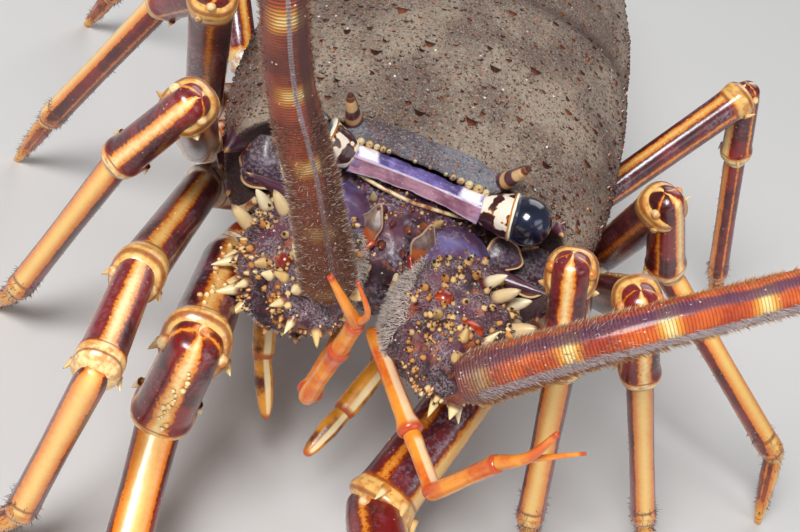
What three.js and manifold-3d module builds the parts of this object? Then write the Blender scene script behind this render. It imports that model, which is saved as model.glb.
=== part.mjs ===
import * as THREE from 'three';
import { mergeVertices } from 'three/addons/utils/BufferGeometryUtils.js';
import Module from 'manifold-3d';

const wasm = await Module();
wasm.setup();

// Millimetres, +Z up. The animal faces -Y and its left side is +X.
// y is measured back from the front edge of the carapace.
const GAP = 0.3;
const FLATNESS = 0.06;
const CARAPACE_LENGTH = 122;
const CARAPACE_HALF_WIDTH = [
  [0, 37.5], [0.07, 40.5], [0.18, 43], [0.4, 43.5], [0.65, 42.5], [0.85, 39.5], [1, 36],
];
const CARAPACE_TOP = [[0, 79.5], [0.06, 83], [0.16, 89], [0.35, 95.5], [0.6, 98], [0.85, 96.5], [1, 91]];
const CARAPACE_BELLY = [[0, 43], [0.2, 43], [1, 42]];
const CARAPACE_MIDDLE = [[0, 62], [0.3, 64], [1, 65]];
const CARAPACE_SIDES = 32;
const CARAPACE_RINGS = 14;

const EYE = { x: 22.8, y: -6, z: 76.5, radius: 4.9 };
const BAR = { halfLength: 14, y: -5.4, z: 74.5, radius: 2.4 };
const HORN = { x: 15.6, y: 2, z: 77, reach: [3.2, -9, 10.5], radius: 2.7 };
const DOME = { x: 12, y: -11, z: 62.5, radii: [9.5, 9.5, 7.8] };

const CARAPACE_SPINES = { lines: [7, 20, 34, 48, 62], perLine: 7, length: 4.2, radius: 1.35 };
// Margin and face spines of one side: place, heading, length, radius.
const MARGIN_SPINES = [
  [2.6, 0.6, 79.8, 0, -0.8, 0.6, 2.2, 0.9],
  [6.4, 0.6, 79.6, 0, -0.8, 0.6, 2.2, 0.9],
  [10, 0.5, 79.2, 0.1, -0.8, 0.6, 2.4, 1],
  [30, -0.2, 73.6, 0.15, -0.9, 0.4, 5, 1.5],
  [36.6, -0.4, 64, 0.05, -0.95, 0.3, 9, 2.6],
  [34.2, -3, 55.5, -0.1, -0.95, 0.1, 4.5, 1.6],
  [27, -6.4, 49.5, -0.1, -0.95, -0.1, 4, 1.5],
];
const FACE_SPINES = [
  [5.4, -8, 70.9, 0.3, -0.7, 0.7, 4.4, 1.3],
  [2.5, -13, 69.6, 0.1, -0.8, 0.5, 4, 1.3],
  [2.1, -17, 66.6, 0.1, -0.9, 0.4, 3.2, 1.2],
];

const ABDOMEN_SOMITES = 6;
const ABDOMEN_HALF_WIDTH = [33, 32.5, 31.5, 30, 28, 25.5, 22.5];
const ABDOMEN_CENTRES = [
  [122, 65], [143, 64], [165, 60.5], [186, 54], [205, 45], [221, 34.5], [235, 23.5],
];

const LEG_SIDES = 8;
const LEG_SIZES = [
  { ischium: 5.4, merus: 6.4, carpus: 6.2, propodus: 4.7, dactyl: 3.0 },
  { ischium: 4.9, merus: 4.8, carpus: 4.3, propodus: 3.1, dactyl: 2.3 },
  { ischium: 4.8, merus: 4.8, carpus: 4.2, propodus: 2.9, dactyl: 2.2 },
  { ischium: 4.6, merus: 4.6, carpus: 4.0, propodus: 2.8, dactyl: 2.1 },
  { ischium: 4.3, merus: 4.1, carpus: 3.6, propodus: 2.6, dactyl: 2.0 },
];
// Standing pose: coxa root, end of ischium, knee, end of carpus, end of propodus, tip.
const LEG_POSE = {
  right: [
    [[-20, 12, 42], [-29, -7, 41], [-27.5, -47, 50], [-29, -45, 30], [-25, -67, 12], [-23, -79, 0]],
    [[-24, 25, 43], [-40, 5, 47], [-41.5, -48, 61], [-40, -72, 60], [-46, -66, 14], [-53, -62, 0]],
    [[-26, 38, 43], [-45.5, 21, 46], [-44.5, -26, 85], [-54, -22, 65], [-69, -9, 13], [-75, -2, 0]],
    [[-28, 51, 43], [-49, 37, 46], [-51, 10, 88], [-62, 23, 74], [-83, 42, 21], [-90, 50, 0]],
    [[-27, 64, 43], [-46, 62, 45], [-69, 89, 75], [-76, 97, 57], [-91, 114, 16], [-97, 121, 0]],
  ],
  left: [
    [[20, 12, 42], [30, -5, 42], [17, -40, 21], [22, -60, 25], [32, -90, 12], [36, -102, 0]],
    [[24, 25, 43], [44, 8, 47], [31, -26, 83], [38.5, -26, 61], [51, -19, 15], [57, -16, 0]],
    [[26, 38, 43], [50.5, 25, 47], [47.6, -16.5, 76], [56.5, -13, 57], [78, -3, 13], [85, 1, 0]],
    [[28, 51, 43], [49, 39, 46], [49, 10, 83], [58, 17, 64], [106, 24, 23], [114, 26, 0]],
    [[27, 64, 43], [46, 62, 45], [71, 83, 78], [78, 87, 59], [95, 99, 16], [102, 104, 0]],
  ],
};

const ANTENNA_POSE = {
  right: {
    block: [[-17.2, -9, 59], [-13.6, -34, 58]],
    wrist: [[-13.5, -31, 59], [-10, -38, 66]],
    feeler: [
      [-8.8, -39.5, 69], [-19, -49, 96], [-27.5, -58, 117], [-33, -67, 138],
      [-52, -66, 190], [-88, -35, 250], [-138, 18, 300],
    ],
  },
  left: {
    block: [[17.2, -9, 59], [13.6, -34, 58]],
    wrist: [[14, -31, 59], [20, -41, 63]],
    feeler: [
      [19.5, -44, 64], [41, -41, 84.5], [68, -31, 102], [130, -5, 138],
      [198, 30, 166], [268, 74, 186],
    ],
  },
};
// Large spines on the outer side of a block: place along it, angle above level, length.
const OUTER_SPINES = [
  [0.3, 0.5, 5.5], [0.48, 0.35, 6.5], [0.66, 0.5, 6.5], [0.84, 0.3, 6], [0.6, 0.95, 4.5],
];
const FEELER_RADIUS = [[0, 5.2], [0.08, 4.3], [0.2, 3.7], [0.6, 2.1], [1, 0.6]];
const FEELER_SPLIT = 0.45;

const ANTENNULE_POSE = {
  right: {
    stem: [[-2.2, -26, 54], [-5, -46, 49]],
    wrist: [[-5, -46, 49], [-3.6, -52, 67], [-3.2, -56, 77]],
    whips: [
      [[-3.2, -56, 77], [-6, -59, 82], [-10.5, -61, 88]],
      [[-3.2, -56, 77], [-2.4, -60, 83], [-6, -61, 89]],
    ],
  },
  left: {
    stem: [[2.4, -26, 53], [15.5, -46, 49.5]],
    wrist: [[15.5, -46, 49.5], [22, -57, 48.5], [28, -64, 67]],
    whips: [[[28, -64, 67], [31, -67, 73], [33, -68, 81]], [[28, -64, 67], [33, -66, 73], [39, -67, 78.5]]],
  },
};
const MAXILLIPED_POSE = {
  right: [[-10, 3, 42], [-18.5, -12, 38], [-15, -18, 29], [-9.5, -24, 19]],
  left: [[10, 3, 42], [8, -17, 38], [4, -27, 31], [0, -36, 25]],
};

const COLOURS = {
  shell: [0x6b5a50, 0.7],
  plate: [0x5b3a4c, 0.45],
  horn: [0x5c3326, 0.45],
  bar: [0x9c83b4, 0.35],
  stalk: [0xd9cbb4, 0.4],
  eye: [0x1a1c2c, 0.08],
  spiny: [0x6d4038, 0.6],
  feeler: [0xa4471f, 0.5],
  antennule: [0xe0781c, 0.35],
  leg: [0x7a2b22, 0.4],
  shank: [0xd9962e, 0.4],
  tail: [0x7c4638, 0.45],
  fan: [0x8a4a34, 0.4],
};

const point = (p) => new THREE.Vector3(p[0], p[1], p[2]);
const xAxis = new THREE.Vector3(1, 0, 0);
const yAxis = new THREE.Vector3(0, 1, 0);
const zAxis = new THREE.Vector3(0, 0, 1);

function read(table, t) {
  if (t <= table[0][0]) return table[0][1];
  for (let i = 1; i < table.length; i += 1) {
    const [a, va] = table[i - 1];
    const [b, vb] = table[i];
    if (t <= b) {
      const k = (t - a) / (b - a);
      return va + (vb - va) * k;
    }
  }
  return table[table.length - 1][1];
}

function toManifold(positions, triangles) {
  let volume = 0;
  const at = (i) => new THREE.Vector3().fromArray(positions, i * 3);
  for (let i = 0; i < triangles.length; i += 3) {
    volume += at(triangles[i]).dot(at(triangles[i + 1]).cross(at(triangles[i + 2])));
  }
  const order = volume < 0 ? [...triangles].reverse() : triangles;
  return new wasm.Manifold(new wasm.Mesh({
    numProp: 3,
    vertProperties: new Float32Array(positions),
    triVerts: new Uint32Array(order),
  }));
}

// Closed skin over a row of equal rings, ended by a flat cap or by a given point.
function loft(rings, tip = null) {
  const positions = [];
  const triangles = [];
  const n = rings[0].length;
  for (const ring of rings) {
    for (const p of ring) positions.push(p.x, p.y, p.z);
  }
  for (let i = 0; i < rings.length - 1; i += 1) {
    for (let j = 0; j < n; j += 1) {
      const a = i * n + j;
      const b = i * n + ((j + 1) % n);
      triangles.push(a, b, b + n, a, b + n, a + n);
    }
  }
  const middle = (ring) => ring.reduce((sum, p) => sum.add(p), new THREE.Vector3()).divideScalar(n);
  const first = middle(rings[0]);
  const last = tip ?? middle(rings[rings.length - 1]);
  const start = rings.length * n;
  positions.push(first.x, first.y, first.z, last.x, last.y, last.z);
  const end = (rings.length - 1) * n;
  for (let j = 0; j < n; j += 1) {
    const k = (j + 1) % n;
    triangles.push(start, k, j);
    triangles.push(start + 1, end + j, end + k);
  }
  return toManifold(positions, triangles);
}

function ring(centre, across, up, a, b, sides, power = 2) {
  const points = [];
  for (let j = 0; j < sides; j += 1) {
    const angle = ((j + 0.5) / sides) * Math.PI * 2;
    const c = Math.cos(angle);
    const s = Math.sin(angle);
    const x = Math.sign(c) * Math.abs(c) ** (2 / power) * a;
    const y = Math.sign(s) * Math.abs(s) ** (2 / power) * b;
    points.push(centre.clone().addScaledVector(across, x).addScaledVector(up, y));
  }
  return points;
}

// Limb through stations of a centre, a half width along the normal and a half depth.
function limb(stations, normal, sides, power = 2, tip = null) {
  const rings = stations.map((station, i) => {
    const before = stations[Math.max(i - 1, 0)].centre;
    const after = stations[Math.min(i + 1, stations.length - 1)].centre;
    const along = after.clone().sub(before).normalize();
    const across = normal.clone().addScaledVector(along, -normal.dot(along)).normalize();
    const up = along.clone().cross(across);
    return ring(station.centre, across, up, station.a, station.b, sides, power);
  });
  return loft(rings, tip);
}

// Straight segment; profile rows hold the place along it and its half width and depth.
function segment(from, to, normal, profile, sides, grow = 0, power = 2.3) {
  const length = from.distanceTo(to);
  const stations = profile.map(([t, a, b], i) => {
    const end = i === profile.length - 1 ? grow / length : 0;
    const start = i === 0 ? -grow / length : 0;
    const centre = from.clone().lerp(to, t + end + start);
    return { centre, a: a + grow, b: b + grow };
  });
  return limb(stations, normal, sides, power);
}

// Point on the skin of a straight segment, with the direction it faces.
function onSegment(from, to, normal, profile, t, angle, power = 2.3) {
  const along = to.clone().sub(from).normalize();
  const across = normal.clone().addScaledVector(along, -normal.dot(along)).normalize();
  const up = along.clone().cross(across);
  const row = (k) => read(profile.map((entry) => [entry[0], entry[k]]), t);
  const c = Math.cos(angle);
  const s = Math.sin(angle);
  const x = Math.sign(c) * Math.abs(c) ** (2 / power) * row(1);
  const y = Math.sign(s) * Math.abs(s) ** (2 / power) * row(2);
  const place = from.clone().lerp(to, t).addScaledVector(across, x).addScaledVector(up, y);
  const facing = across.clone().multiplyScalar(c).addScaledVector(up, s).normalize();
  return { place, facing, along };
}

// Cone with its root sunk into the surface that it grows from.
function spike(place, heading, length, radius, sides = 5) {
  const along = heading.clone().normalize();
  const aside = Math.abs(along.z) > 0.8 ? xAxis : zAxis;
  const across = aside.clone().addScaledVector(along, -aside.dot(along)).normalize();
  const foot = place.clone().addScaledVector(along, -radius * 1.1);
  const root = ring(foot, across, along.clone().cross(across), radius * 1.12, radius * 1.12, sides);
  return loft([root], place.clone().addScaledVector(along, length));
}

let seed = 20;
function random() {
  seed = (seed * 1664525 + 1013904223) % 4294967296;
  return seed / 4294967296;
}

function ball(centre, radii, across = 14, down = 9, grow = 0) {
  const geometry = new THREE.SphereGeometry(1, across, down);
  geometry.deleteAttribute('normal');
  geometry.deleteAttribute('uv');
  geometry.rotateX(Math.PI / 2);
  geometry.scale(radii[0] + grow, radii[1] + grow, radii[2] + grow);
  geometry.translate(centre[0], centre[1], centre[2]);
  const merged = mergeVertices(geometry, 1e-4);
  return toManifold([...merged.attributes.position.array], [...merged.index.array]);
}

function fuse(pieces) {
  let level = pieces;
  while (level.length > 1) {
    const next = [];
    for (let i = 0; i < level.length; i += 2) {
      next.push(i + 1 < level.length ? level[i].add(level[i + 1]) : level[i]);
    }
    level = next;
  }
  return level[0];
}

function cut(body, ...tools) {
  return tools.reduce((rest, tool) => rest.subtract(tool), body);
}

function volumeOf(body) {
  const mesh = body.getMesh();
  const at = (i) => new THREE.Vector3().fromArray(mesh.vertProperties, i * mesh.numProp);
  let volume = 0;
  for (let i = 0; i < mesh.triVerts.length; i += 3) {
    const [a, b, c] = [0, 1, 2].map((k) => at(mesh.triVerts[i + k]));
    volume += a.dot(b.cross(c)) / 6;
  }
  return volume;
}

function largest(body) {
  const parts = body.decompose();
  return parts.reduce((best, part) => (volumeOf(part) > volumeOf(best) ? part : best), parts[0]);
}

const animal = new THREE.Group();
const bounds = new THREE.Box3();

function addNode(name, colour, body) {
  const mesh = largest(body.simplify(FLATNESS)).getMesh();
  const geometry = new THREE.BufferGeometry();
  const positions = new Float32Array((mesh.vertProperties.length / mesh.numProp) * 3);
  for (let i = 0; i < positions.length / 3; i += 1) {
    for (let k = 0; k < 3; k += 1) positions[i * 3 + k] = mesh.vertProperties[i * mesh.numProp + k];
  }
  geometry.setAttribute('position', new THREE.BufferAttribute(positions, 3));
  geometry.setIndex([...mesh.triVerts]);
  geometry.computeVertexNormals();
  geometry.computeBoundingBox();
  bounds.union(geometry.boundingBox);
  const [tone, roughness] = COLOURS[colour];
  const material = new THREE.MeshStandardMaterial({ color: tone, roughness, metalness: 0 });
  const node = new THREE.Mesh(geometry, material);
  node.name = name;
  animal.add(node);
}

// Carapace surface: t runs from the front edge to the rear edge, angle from the left side over the top.
function carapacePoint(t, angle, grow = 0) {
  const c = Math.cos(angle);
  const s = Math.sin(angle);
  const upper = s > 0;
  const width = read(CARAPACE_HALF_WIDTH, t);
  const middle = read(CARAPACE_MIDDLE, t);
  const height = upper ? read(CARAPACE_TOP, t) - middle : middle - read(CARAPACE_BELLY, t);
  const power = upper ? 2 / 2.25 : 2 / 2.5;
  const pinch = upper ? 1 : 1 - 0.24 * Math.abs(s);
  const groove = Math.exp(-(((t - 0.56 + 0.16 * Math.max(s, 0)) / 0.022) ** 2)) * (s > -0.2 ? 1 : 0);
  const swell = 1 - 0.045 * groove;
  const x = Math.sign(c) * Math.abs(c) ** power * (width * swell * pinch + grow);
  const z = middle + Math.sign(s) * Math.abs(s) ** power * (height * swell + grow);
  const brow = 11 * Math.max(0, s - 0.8) - 1.5 * (1 - s);
  const front = upper ? brow : -1.5 - 14 * Math.abs(s * c);
  const y = t * CARAPACE_LENGTH + front * (1 - t) ** 6;
  return new THREE.Vector3(x, y, z);
}

function carapaceShape(grow = 0) {
  const rings = [];
  for (let i = 0; i <= CARAPACE_RINGS; i += 1) {
    const t = i / CARAPACE_RINGS;
    const points = [];
    for (let j = 0; j < CARAPACE_SIDES; j += 1) {
      const p = carapacePoint(t, ((j + 0.5) / CARAPACE_SIDES) * Math.PI * 2, grow);
      if (i === 0) p.y -= grow;
      if (i === CARAPACE_RINGS) p.y += grow;
      points.push(p);
    }
    rings.push(points);
  }
  return loft(rings);
}

function faceShape(grow = 0) {
  const stations = [
    { y: 9, z: 59, a: 22, b: 12 },
    { y: -3, z: 59.5, a: 17.5, b: 12.6 },
    { y: -9, z: 60, a: 11, b: 11.6 },
    { y: -15, z: 59.5, a: 7.5, b: 9.6 },
    { y: -20, z: 58, a: 5, b: 6.5 },
  ].map(({ y, z, a, b }, i, all) => ({
    centre: new THREE.Vector3(0, i === all.length - 1 ? y - grow : y, z),
    a: a + grow,
    b: b + grow,
  }));
  return limb(stations, xAxis, 16, 2.4);
}

function sternumShape(grow = 0) {
  const stations = [[2, 8], [14, 13], [34, 17], [56, 21], [76, 25], [90, 24]].map(([y, a], i, all) => ({
    centre: new THREE.Vector3(0, y + (i === 0 ? -grow : 0) + (i === all.length - 1 ? grow : 0), 43),
    a: a + grow,
    b: 4.2 + grow,
  }));
  return limb(stations, xAxis, 10, 2.6);
}

const carapaceGrown = carapaceShape(GAP);
const faceGrown = faceShape(GAP);
const sternumGrown = sternumShape(GAP);
addNode('sternum', 'tail', cut(sternumShape(), carapaceGrown));

// Neighbours that spines stay clear of: owner, axis and radius.
const keepOut = [];
const keep = (owner, from, to, radius) => keepOut.push({ owner, axis: new THREE.Line3(from, to), radius });
const keepPath = (owner, path, radius) => {
  for (let i = 1; i < path.length; i += 1) keep(owner, path[i - 1], path[i], radius);
};
for (const [side, sign] of [['right', -1], ['left', 1]]) {
  const eye = new THREE.Vector3(sign * EYE.x, EYE.y, EYE.z);
  keep('eye', new THREE.Vector3(sign * 12, BAR.y, BAR.z), eye, EYE.radius);
  const horn = new THREE.Vector3(sign * HORN.x, HORN.y, HORN.z);
  const reach = new THREE.Vector3(sign * HORN.reach[0], HORN.reach[1], HORN.reach[2]);
  keep('horn', horn, horn.clone().add(reach), HORN.radius);
  const dome = new THREE.Vector3(sign * DOME.x, DOME.y, DOME.z);
  keep('dome', dome, dome, DOME.radii[0] + 0.2);
  const { block, wrist, feeler } = ANTENNA_POSE[side];
  keep(`block_${side}`, point(block[0]), point(block[1]), 12);
  keep(`wrist_${side}`, point(wrist[0]), point(wrist[1]), 7.6);
  keepPath(`feeler_${side}`, feeler.map(point).slice(0, 3), 5);
  const small = ANTENNULE_POSE[side];
  keepPath(`antennule_${side}`, [...small.stem, ...small.wrist].map(point), 2.4);
  small.whips.forEach((whip) => keepPath(`antennule_${side}`, whip.map(point), 1.6));
  keepPath(`maxilliped_${side}`, MAXILLIPED_POSE[side].map(point), 3.2);
  LEG_POSE[side].forEach((joints, index) => {
    const size = LEG_SIZES[index];
    const [root, hip, knee, wristEnd, ankle, tip] = joints.map(point);
    keep(`upper_${index}_${side}`, root, hip, size.ischium);
    keep(`upper_${index}_${side}`, hip, knee, size.merus * 1.1);
    keep(`lower_${index}_${side}`, knee, wristEnd, size.carpus);
    keep(`lower_${index}_${side}`, wristEnd, ankle, size.propodus);
    keep(`lower_${index}_${side}`, ankle, tip, size.dactyl);
  });
}
const barEnds = [-1, 1].map((sign) => new THREE.Vector3(sign * BAR.halfLength, BAR.y, BAR.z));
keep('bar', barEnds[0], barEnds[1], BAR.radius * 1.2);

// Spines that would touch a neighbour are left off.
function spikeIfClear(owners, place, heading, length, radius, sides = 4) {
  const along = heading.clone().normalize();
  const nearest = new THREE.Vector3();
  const clear = [0, 0.35, 0.7, 1].every((k) => {
    const p = place.clone().addScaledVector(along, length * k);
    return keepOut.every(({ owner, axis, radius: wide }) => {
      if (owners.includes(owner)) return true;
      axis.closestPointToPoint(p, true, nearest);
      return nearest.distanceTo(p) > wide + radius * (1 - k) + 0.9;
    });
  });
  return clear ? [spike(place, along, length, radius, sides)] : [];
}

function carapaceFacing(t, angle) {
  const across = carapacePoint(t, angle + 0.02).sub(carapacePoint(t, angle - 0.02));
  const ahead = carapacePoint(Math.max(t - 0.01, 0), angle);
  const along = carapacePoint(Math.min(t + 0.01, 1), angle).sub(ahead);
  return across.cross(along).normalize();
}

const carapaceSpines = [];
const { lines, perLine, length, radius } = CARAPACE_SPINES;
for (const sign of [-1, 1]) {
  lines.forEach((offset, line) => {
    for (let i = 0; i < perLine; i += 1) {
      const t = 0.06 + (0.86 * (i + (line % 2) * 0.5 + 0.35 * (random() - 0.5))) / perLine;
      const lean = THREE.MathUtils.degToRad(offset + 5 * (random() - 0.5));
      const angle = Math.PI / 2 - sign * lean;
      const facing = carapaceFacing(t, angle);
      const heading = facing.clone().multiplyScalar(0.8).addScaledVector(yAxis, -0.6);
      const fade = (1 - 0.5 * t) * (1 - (0.35 * line) / lines.length) * (0.75 + 0.5 * random());
      const place = carapacePoint(t, angle);
      carapaceSpines.push(...spikeIfClear([], place, heading, length * fade, radius * fade));
    }
  });
  for (const [x, y, z, dx, dy, dz, reach, wide] of MARGIN_SPINES) {
    const place = new THREE.Vector3(sign * x, y, z);
    const heading = new THREE.Vector3(sign * dx, dy, dz);
    carapaceSpines.push(...spikeIfClear(['bar'], place, heading, reach, wide, 6));
  }
}
addNode('carapace', 'shell', fuse([carapaceShape(), ...carapaceSpines]));

const faceParts = [faceShape()];
for (const sign of [-1, 1]) {
  faceParts.push(ball([sign * 4.6, -5, 47.5], [4.4, 5, 3.8], 8, 6));
  for (const [x, y, z, dx, dy, dz, reach, wide] of FACE_SPINES) {
    const place = new THREE.Vector3(sign * x, y, z);
    const heading = new THREE.Vector3(sign * dx, dy, dz);
    faceParts.push(...spikeIfClear(['dome', 'block_right', 'block_left'], place, heading, reach, wide));
  }
}
addNode('face', 'plate', cut(fuse(faceParts), carapaceGrown));

function barShape(grow = 0) {
  const stations = [-1, -0.8, -0.4, 0, 0.4, 0.8, 1].map((t) => ({
    centre: new THREE.Vector3(t * (BAR.halfLength + grow), BAR.y + 0.9 * (1 - t * t), BAR.z),
    a: BAR.radius * (1 + 0.25 * t * t) + grow,
    b: BAR.radius * (1.1 + 0.2 * t * t) + grow,
  }));
  return limb(stations, zAxis, 12);
}
addNode('ocular_bar', 'bar', cut(barShape(), carapaceGrown, faceGrown));
const barGrown = barShape(GAP);

for (const [side, sign] of [['right', -1], ['left', 1]]) {
  const from = new THREE.Vector3(sign * (BAR.halfLength - 2), BAR.y, BAR.z);
  const to = new THREE.Vector3(sign * (EYE.x - 2.6), EYE.y, EYE.z - 0.2);
  const profile = [[0, 2.4, 2.4], [0.35, 3, 2.8], [0.75, 4, 3.8], [1, 4.5, 4.4]];
  const stalk = segment(from, to, zAxis, profile, 12, 0, 2);
  const stalkGrown = segment(from, to, zAxis, profile, 12, GAP, 2);
  addNode(`eyestalk_${side}`, 'stalk', cut(stalk, barGrown, carapaceGrown, faceGrown));
  const eye = ball([sign * EYE.x, EYE.y, EYE.z], [EYE.radius, EYE.radius, EYE.radius], 12, 8);
  addNode(`eye_${side}`, 'eye', cut(eye, stalkGrown, carapaceGrown));

  const base = new THREE.Vector3(sign * HORN.x, HORN.y, HORN.z);
  const reach = new THREE.Vector3(sign * HORN.reach[0], HORN.reach[1], HORN.reach[2]);
  const hornStations = [
    [-0.15, 1.3, 1.5], [0.1, 1, 1.25], [0.4, 0.72, 0.85], [0.75, 0.45, 0.5], [0.95, 0.2, 0.22],
  ];
  const horn = limb(
    hornStations.map(([t, a, b]) => ({
      centre: new THREE.Vector3(0, 2.4 * t * t, 1.6 * t * (1 - t)).add(base).addScaledVector(reach, t),
      a: a * HORN.radius,
      b: b * HORN.radius,
    })),
    xAxis, 8, 2,
    base.clone().add(reach).add(new THREE.Vector3(0, 2.4, 0)),
  );
  addNode(`horn_${side}`, 'horn', cut(horn, carapaceGrown, barGrown, faceGrown, stalkGrown));

  const pose = ANTENNA_POSE[side];
  const dome = (grow) => ball([sign * DOME.x, DOME.y, DOME.z], DOME.radii, 12, 8, grow);
  addNode(`antenna_base_${side}`, 'bar', cut(dome(0), carapaceGrown, faceGrown, barGrown, stalkGrown));
  const blockProfile = [[0, 8, 8], [0.22, 11.2, 10.8], [0.55, 12, 11.8], [0.85, 10.6, 10.6], [1, 8, 8]];
  const [blockFrom, blockTo] = pose.block.map(point);
  const block = (grow) => segment(blockFrom, blockTo, xAxis, blockProfile, 14, grow);
  const blockSpines = [];
  const blockOwners = [`block_${side}`];
  for (let row = 0; row < 6; row += 1) {
    for (let k = 0; k < 9; k += 1) {
      const t = 0.14 + 0.155 * row + 0.05 * (random() - 0.5);
      const angle = ((k + 0.5 * (row % 2) + 0.4 * (random() - 0.5)) / 9) * Math.PI * 2;
      const { place, facing, along } = onSegment(blockFrom, blockTo, xAxis, blockProfile, t, angle);
      const grown = 0.7 + 0.6 * random() + (row === 5 ? 0.5 : 0);
      const heading = facing.clone().addScaledVector(along, 0.25 + 0.16 * row);
      if (facing.x * sign > -0.6 && facing.z > -0.75) {
        blockSpines.push(...spikeIfClear(blockOwners, place, heading, 2.7 * grown, 1.25 * grown ** 0.5));
      }
    }
  }
  for (const [t, angle, length] of OUTER_SPINES) {
    const turned = sign > 0 ? angle : Math.PI - angle;
    const { place, facing, along } = onSegment(blockFrom, blockTo, xAxis, blockProfile, t, -turned);
    const heading = facing.clone().addScaledVector(along, 0.35);
    blockSpines.push(...spikeIfClear(blockOwners, place, heading, length, 1.9, 6));
  }
  const blockBody = fuse([cut(block(0), dome(GAP), carapaceGrown, faceGrown), ...blockSpines]);
  addNode(`antenna_block_${side}`, 'spiny', blockBody);
  const wristProfile = [[0, 7, 7], [0.4, 7.6, 7.4], [0.85, 7, 6.8], [1, 5.6, 5.6]];
  const [wristFrom, wristTo] = pose.wrist.map(point);
  const wrist = (grow) => segment(wristFrom, wristTo, xAxis, wristProfile, 12, grow);
  const wristSpines = [];
  for (let k = 0; k < 10; k += 1) {
    const angle = (k / 10) * Math.PI * 2;
    const { place, facing, along } = onSegment(wristFrom, wristTo, xAxis, wristProfile, 0.86, angle);
    const heading = facing.clone().addScaledVector(along, 0.35);
    if (facing.x * sign > -0.5) {
      wristSpines.push(...spikeIfClear([`wrist_${side}`], place, heading, 3.2 + random(), 1.3));
    }
  }
  addNode(`antenna_wrist_${side}`, 'spiny', fuse([cut(wrist(0), block(GAP)), ...wristSpines]));

  const curve = new THREE.CatmullRomCurve3(pose.feeler.map(point));
  const length = curve.getLength();
  const forward = new THREE.Vector3(0, -1, 0.2).normalize();
  const run = (t0, t1, count) => {
    const rings = [];
    for (let i = 0; i <= count; i += 1) {
      const t = t0 + ((t1 - t0) * i) / count;
      const along = curve.getTangentAt(t);
      const across = forward.clone().addScaledVector(along, -forward.dot(along)).normalize();
      const radius = read(FEELER_RADIUS, t);
      rings.push(ring(curve.getPointAt(t), across, along.clone().cross(across), radius, radius * 0.9, 8));
    }
    return loft(rings);
  };
  const gap = GAP / length;
  addNode(`feeler_${side}_lower`, 'feeler', cut(run(0, FEELER_SPLIT, 10), wrist(GAP), block(GAP)));
  addNode(`feeler_${side}_upper`, 'feeler', run(FEELER_SPLIT + gap, 1, 13));

  const small = ANTENNULE_POSE[side];
  const [stemFrom, stemTo] = small.stem.map(point);
  const stemProfile = [[0, 1.7, 1.7], [0.5, 1.9, 1.9], [0.9, 2.1, 2.1], [1, 2.7, 2.7]];
  const stem = (grow) => segment(stemFrom, stemTo, xAxis, stemProfile, 8, grow);
  const bothBlocks = ['right', 'left'].map((s) => {
    const [a, b] = ANTENNA_POSE[s].block.map(point);
    return segment(a, b, xAxis, blockProfile, 14, GAP);
  });
  addNode(`antennule_${side}_stem`, 'antennule', cut(stem(0), faceGrown, ...bothBlocks));
  const joints = small.wrist.map(point);
  const arm = [
    segment(joints[0], joints[1], xAxis, [[-0.08, 1.8, 1.8], [0.3, 1.7, 1.7], [1.05, 1.9, 1.9]], 6),
    segment(joints[1], joints[2], xAxis, [[-0.08, 1.7, 1.7], [0.5, 1.6, 1.6], [1, 1.8, 1.8]], 6),
    ...small.whips.map((path, i) => {
      const thick = i === 0 ? 1.3 : 0.8;
      const stations = path.map((p, k) => {
        const wide = thick * (1 - 0.3 * k);
        return { centre: point(p), a: wide, b: wide };
      });
      return limb(stations, xAxis, 5);
    }),
  ];
  addNode(`antennule_${side}_tip`, 'antennule', cut(fuse(arm), stem(GAP)));

  const jaw = MAXILLIPED_POSE[side].map(point);
  const jawParts = [
    segment(jaw[0], jaw[1], xAxis, [[0, 3.2, 3.2], [0.5, 3.1, 3.2], [1, 2.8, 2.8]], 6),
    segment(jaw[1], jaw[2], xAxis, [[-0.12, 2.2, 2.2], [0.5, 2.5, 2.5], [1.05, 2.1, 2.1]], 6),
    segment(jaw[2], jaw[3], xAxis, [[-0.1, 1.9, 1.9], [0.4, 2.1, 2.1], [1, 0.8, 0.8]], 6),
  ];
  addNode(`maxilliped_${side}`, 'shank', cut(fuse(jawParts), carapaceGrown, faceGrown, sternumGrown));
}

const floor = toManifold(...(() => {
  const slab = new THREE.BoxGeometry(900, 900, 40);
  slab.deleteAttribute('normal');
  slab.deleteAttribute('uv');
  slab.translate(0, 0, -20);
  const merged = mergeVertices(slab);
  return [[...merged.attributes.position.array], [...merged.index.array]];
})());

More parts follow.
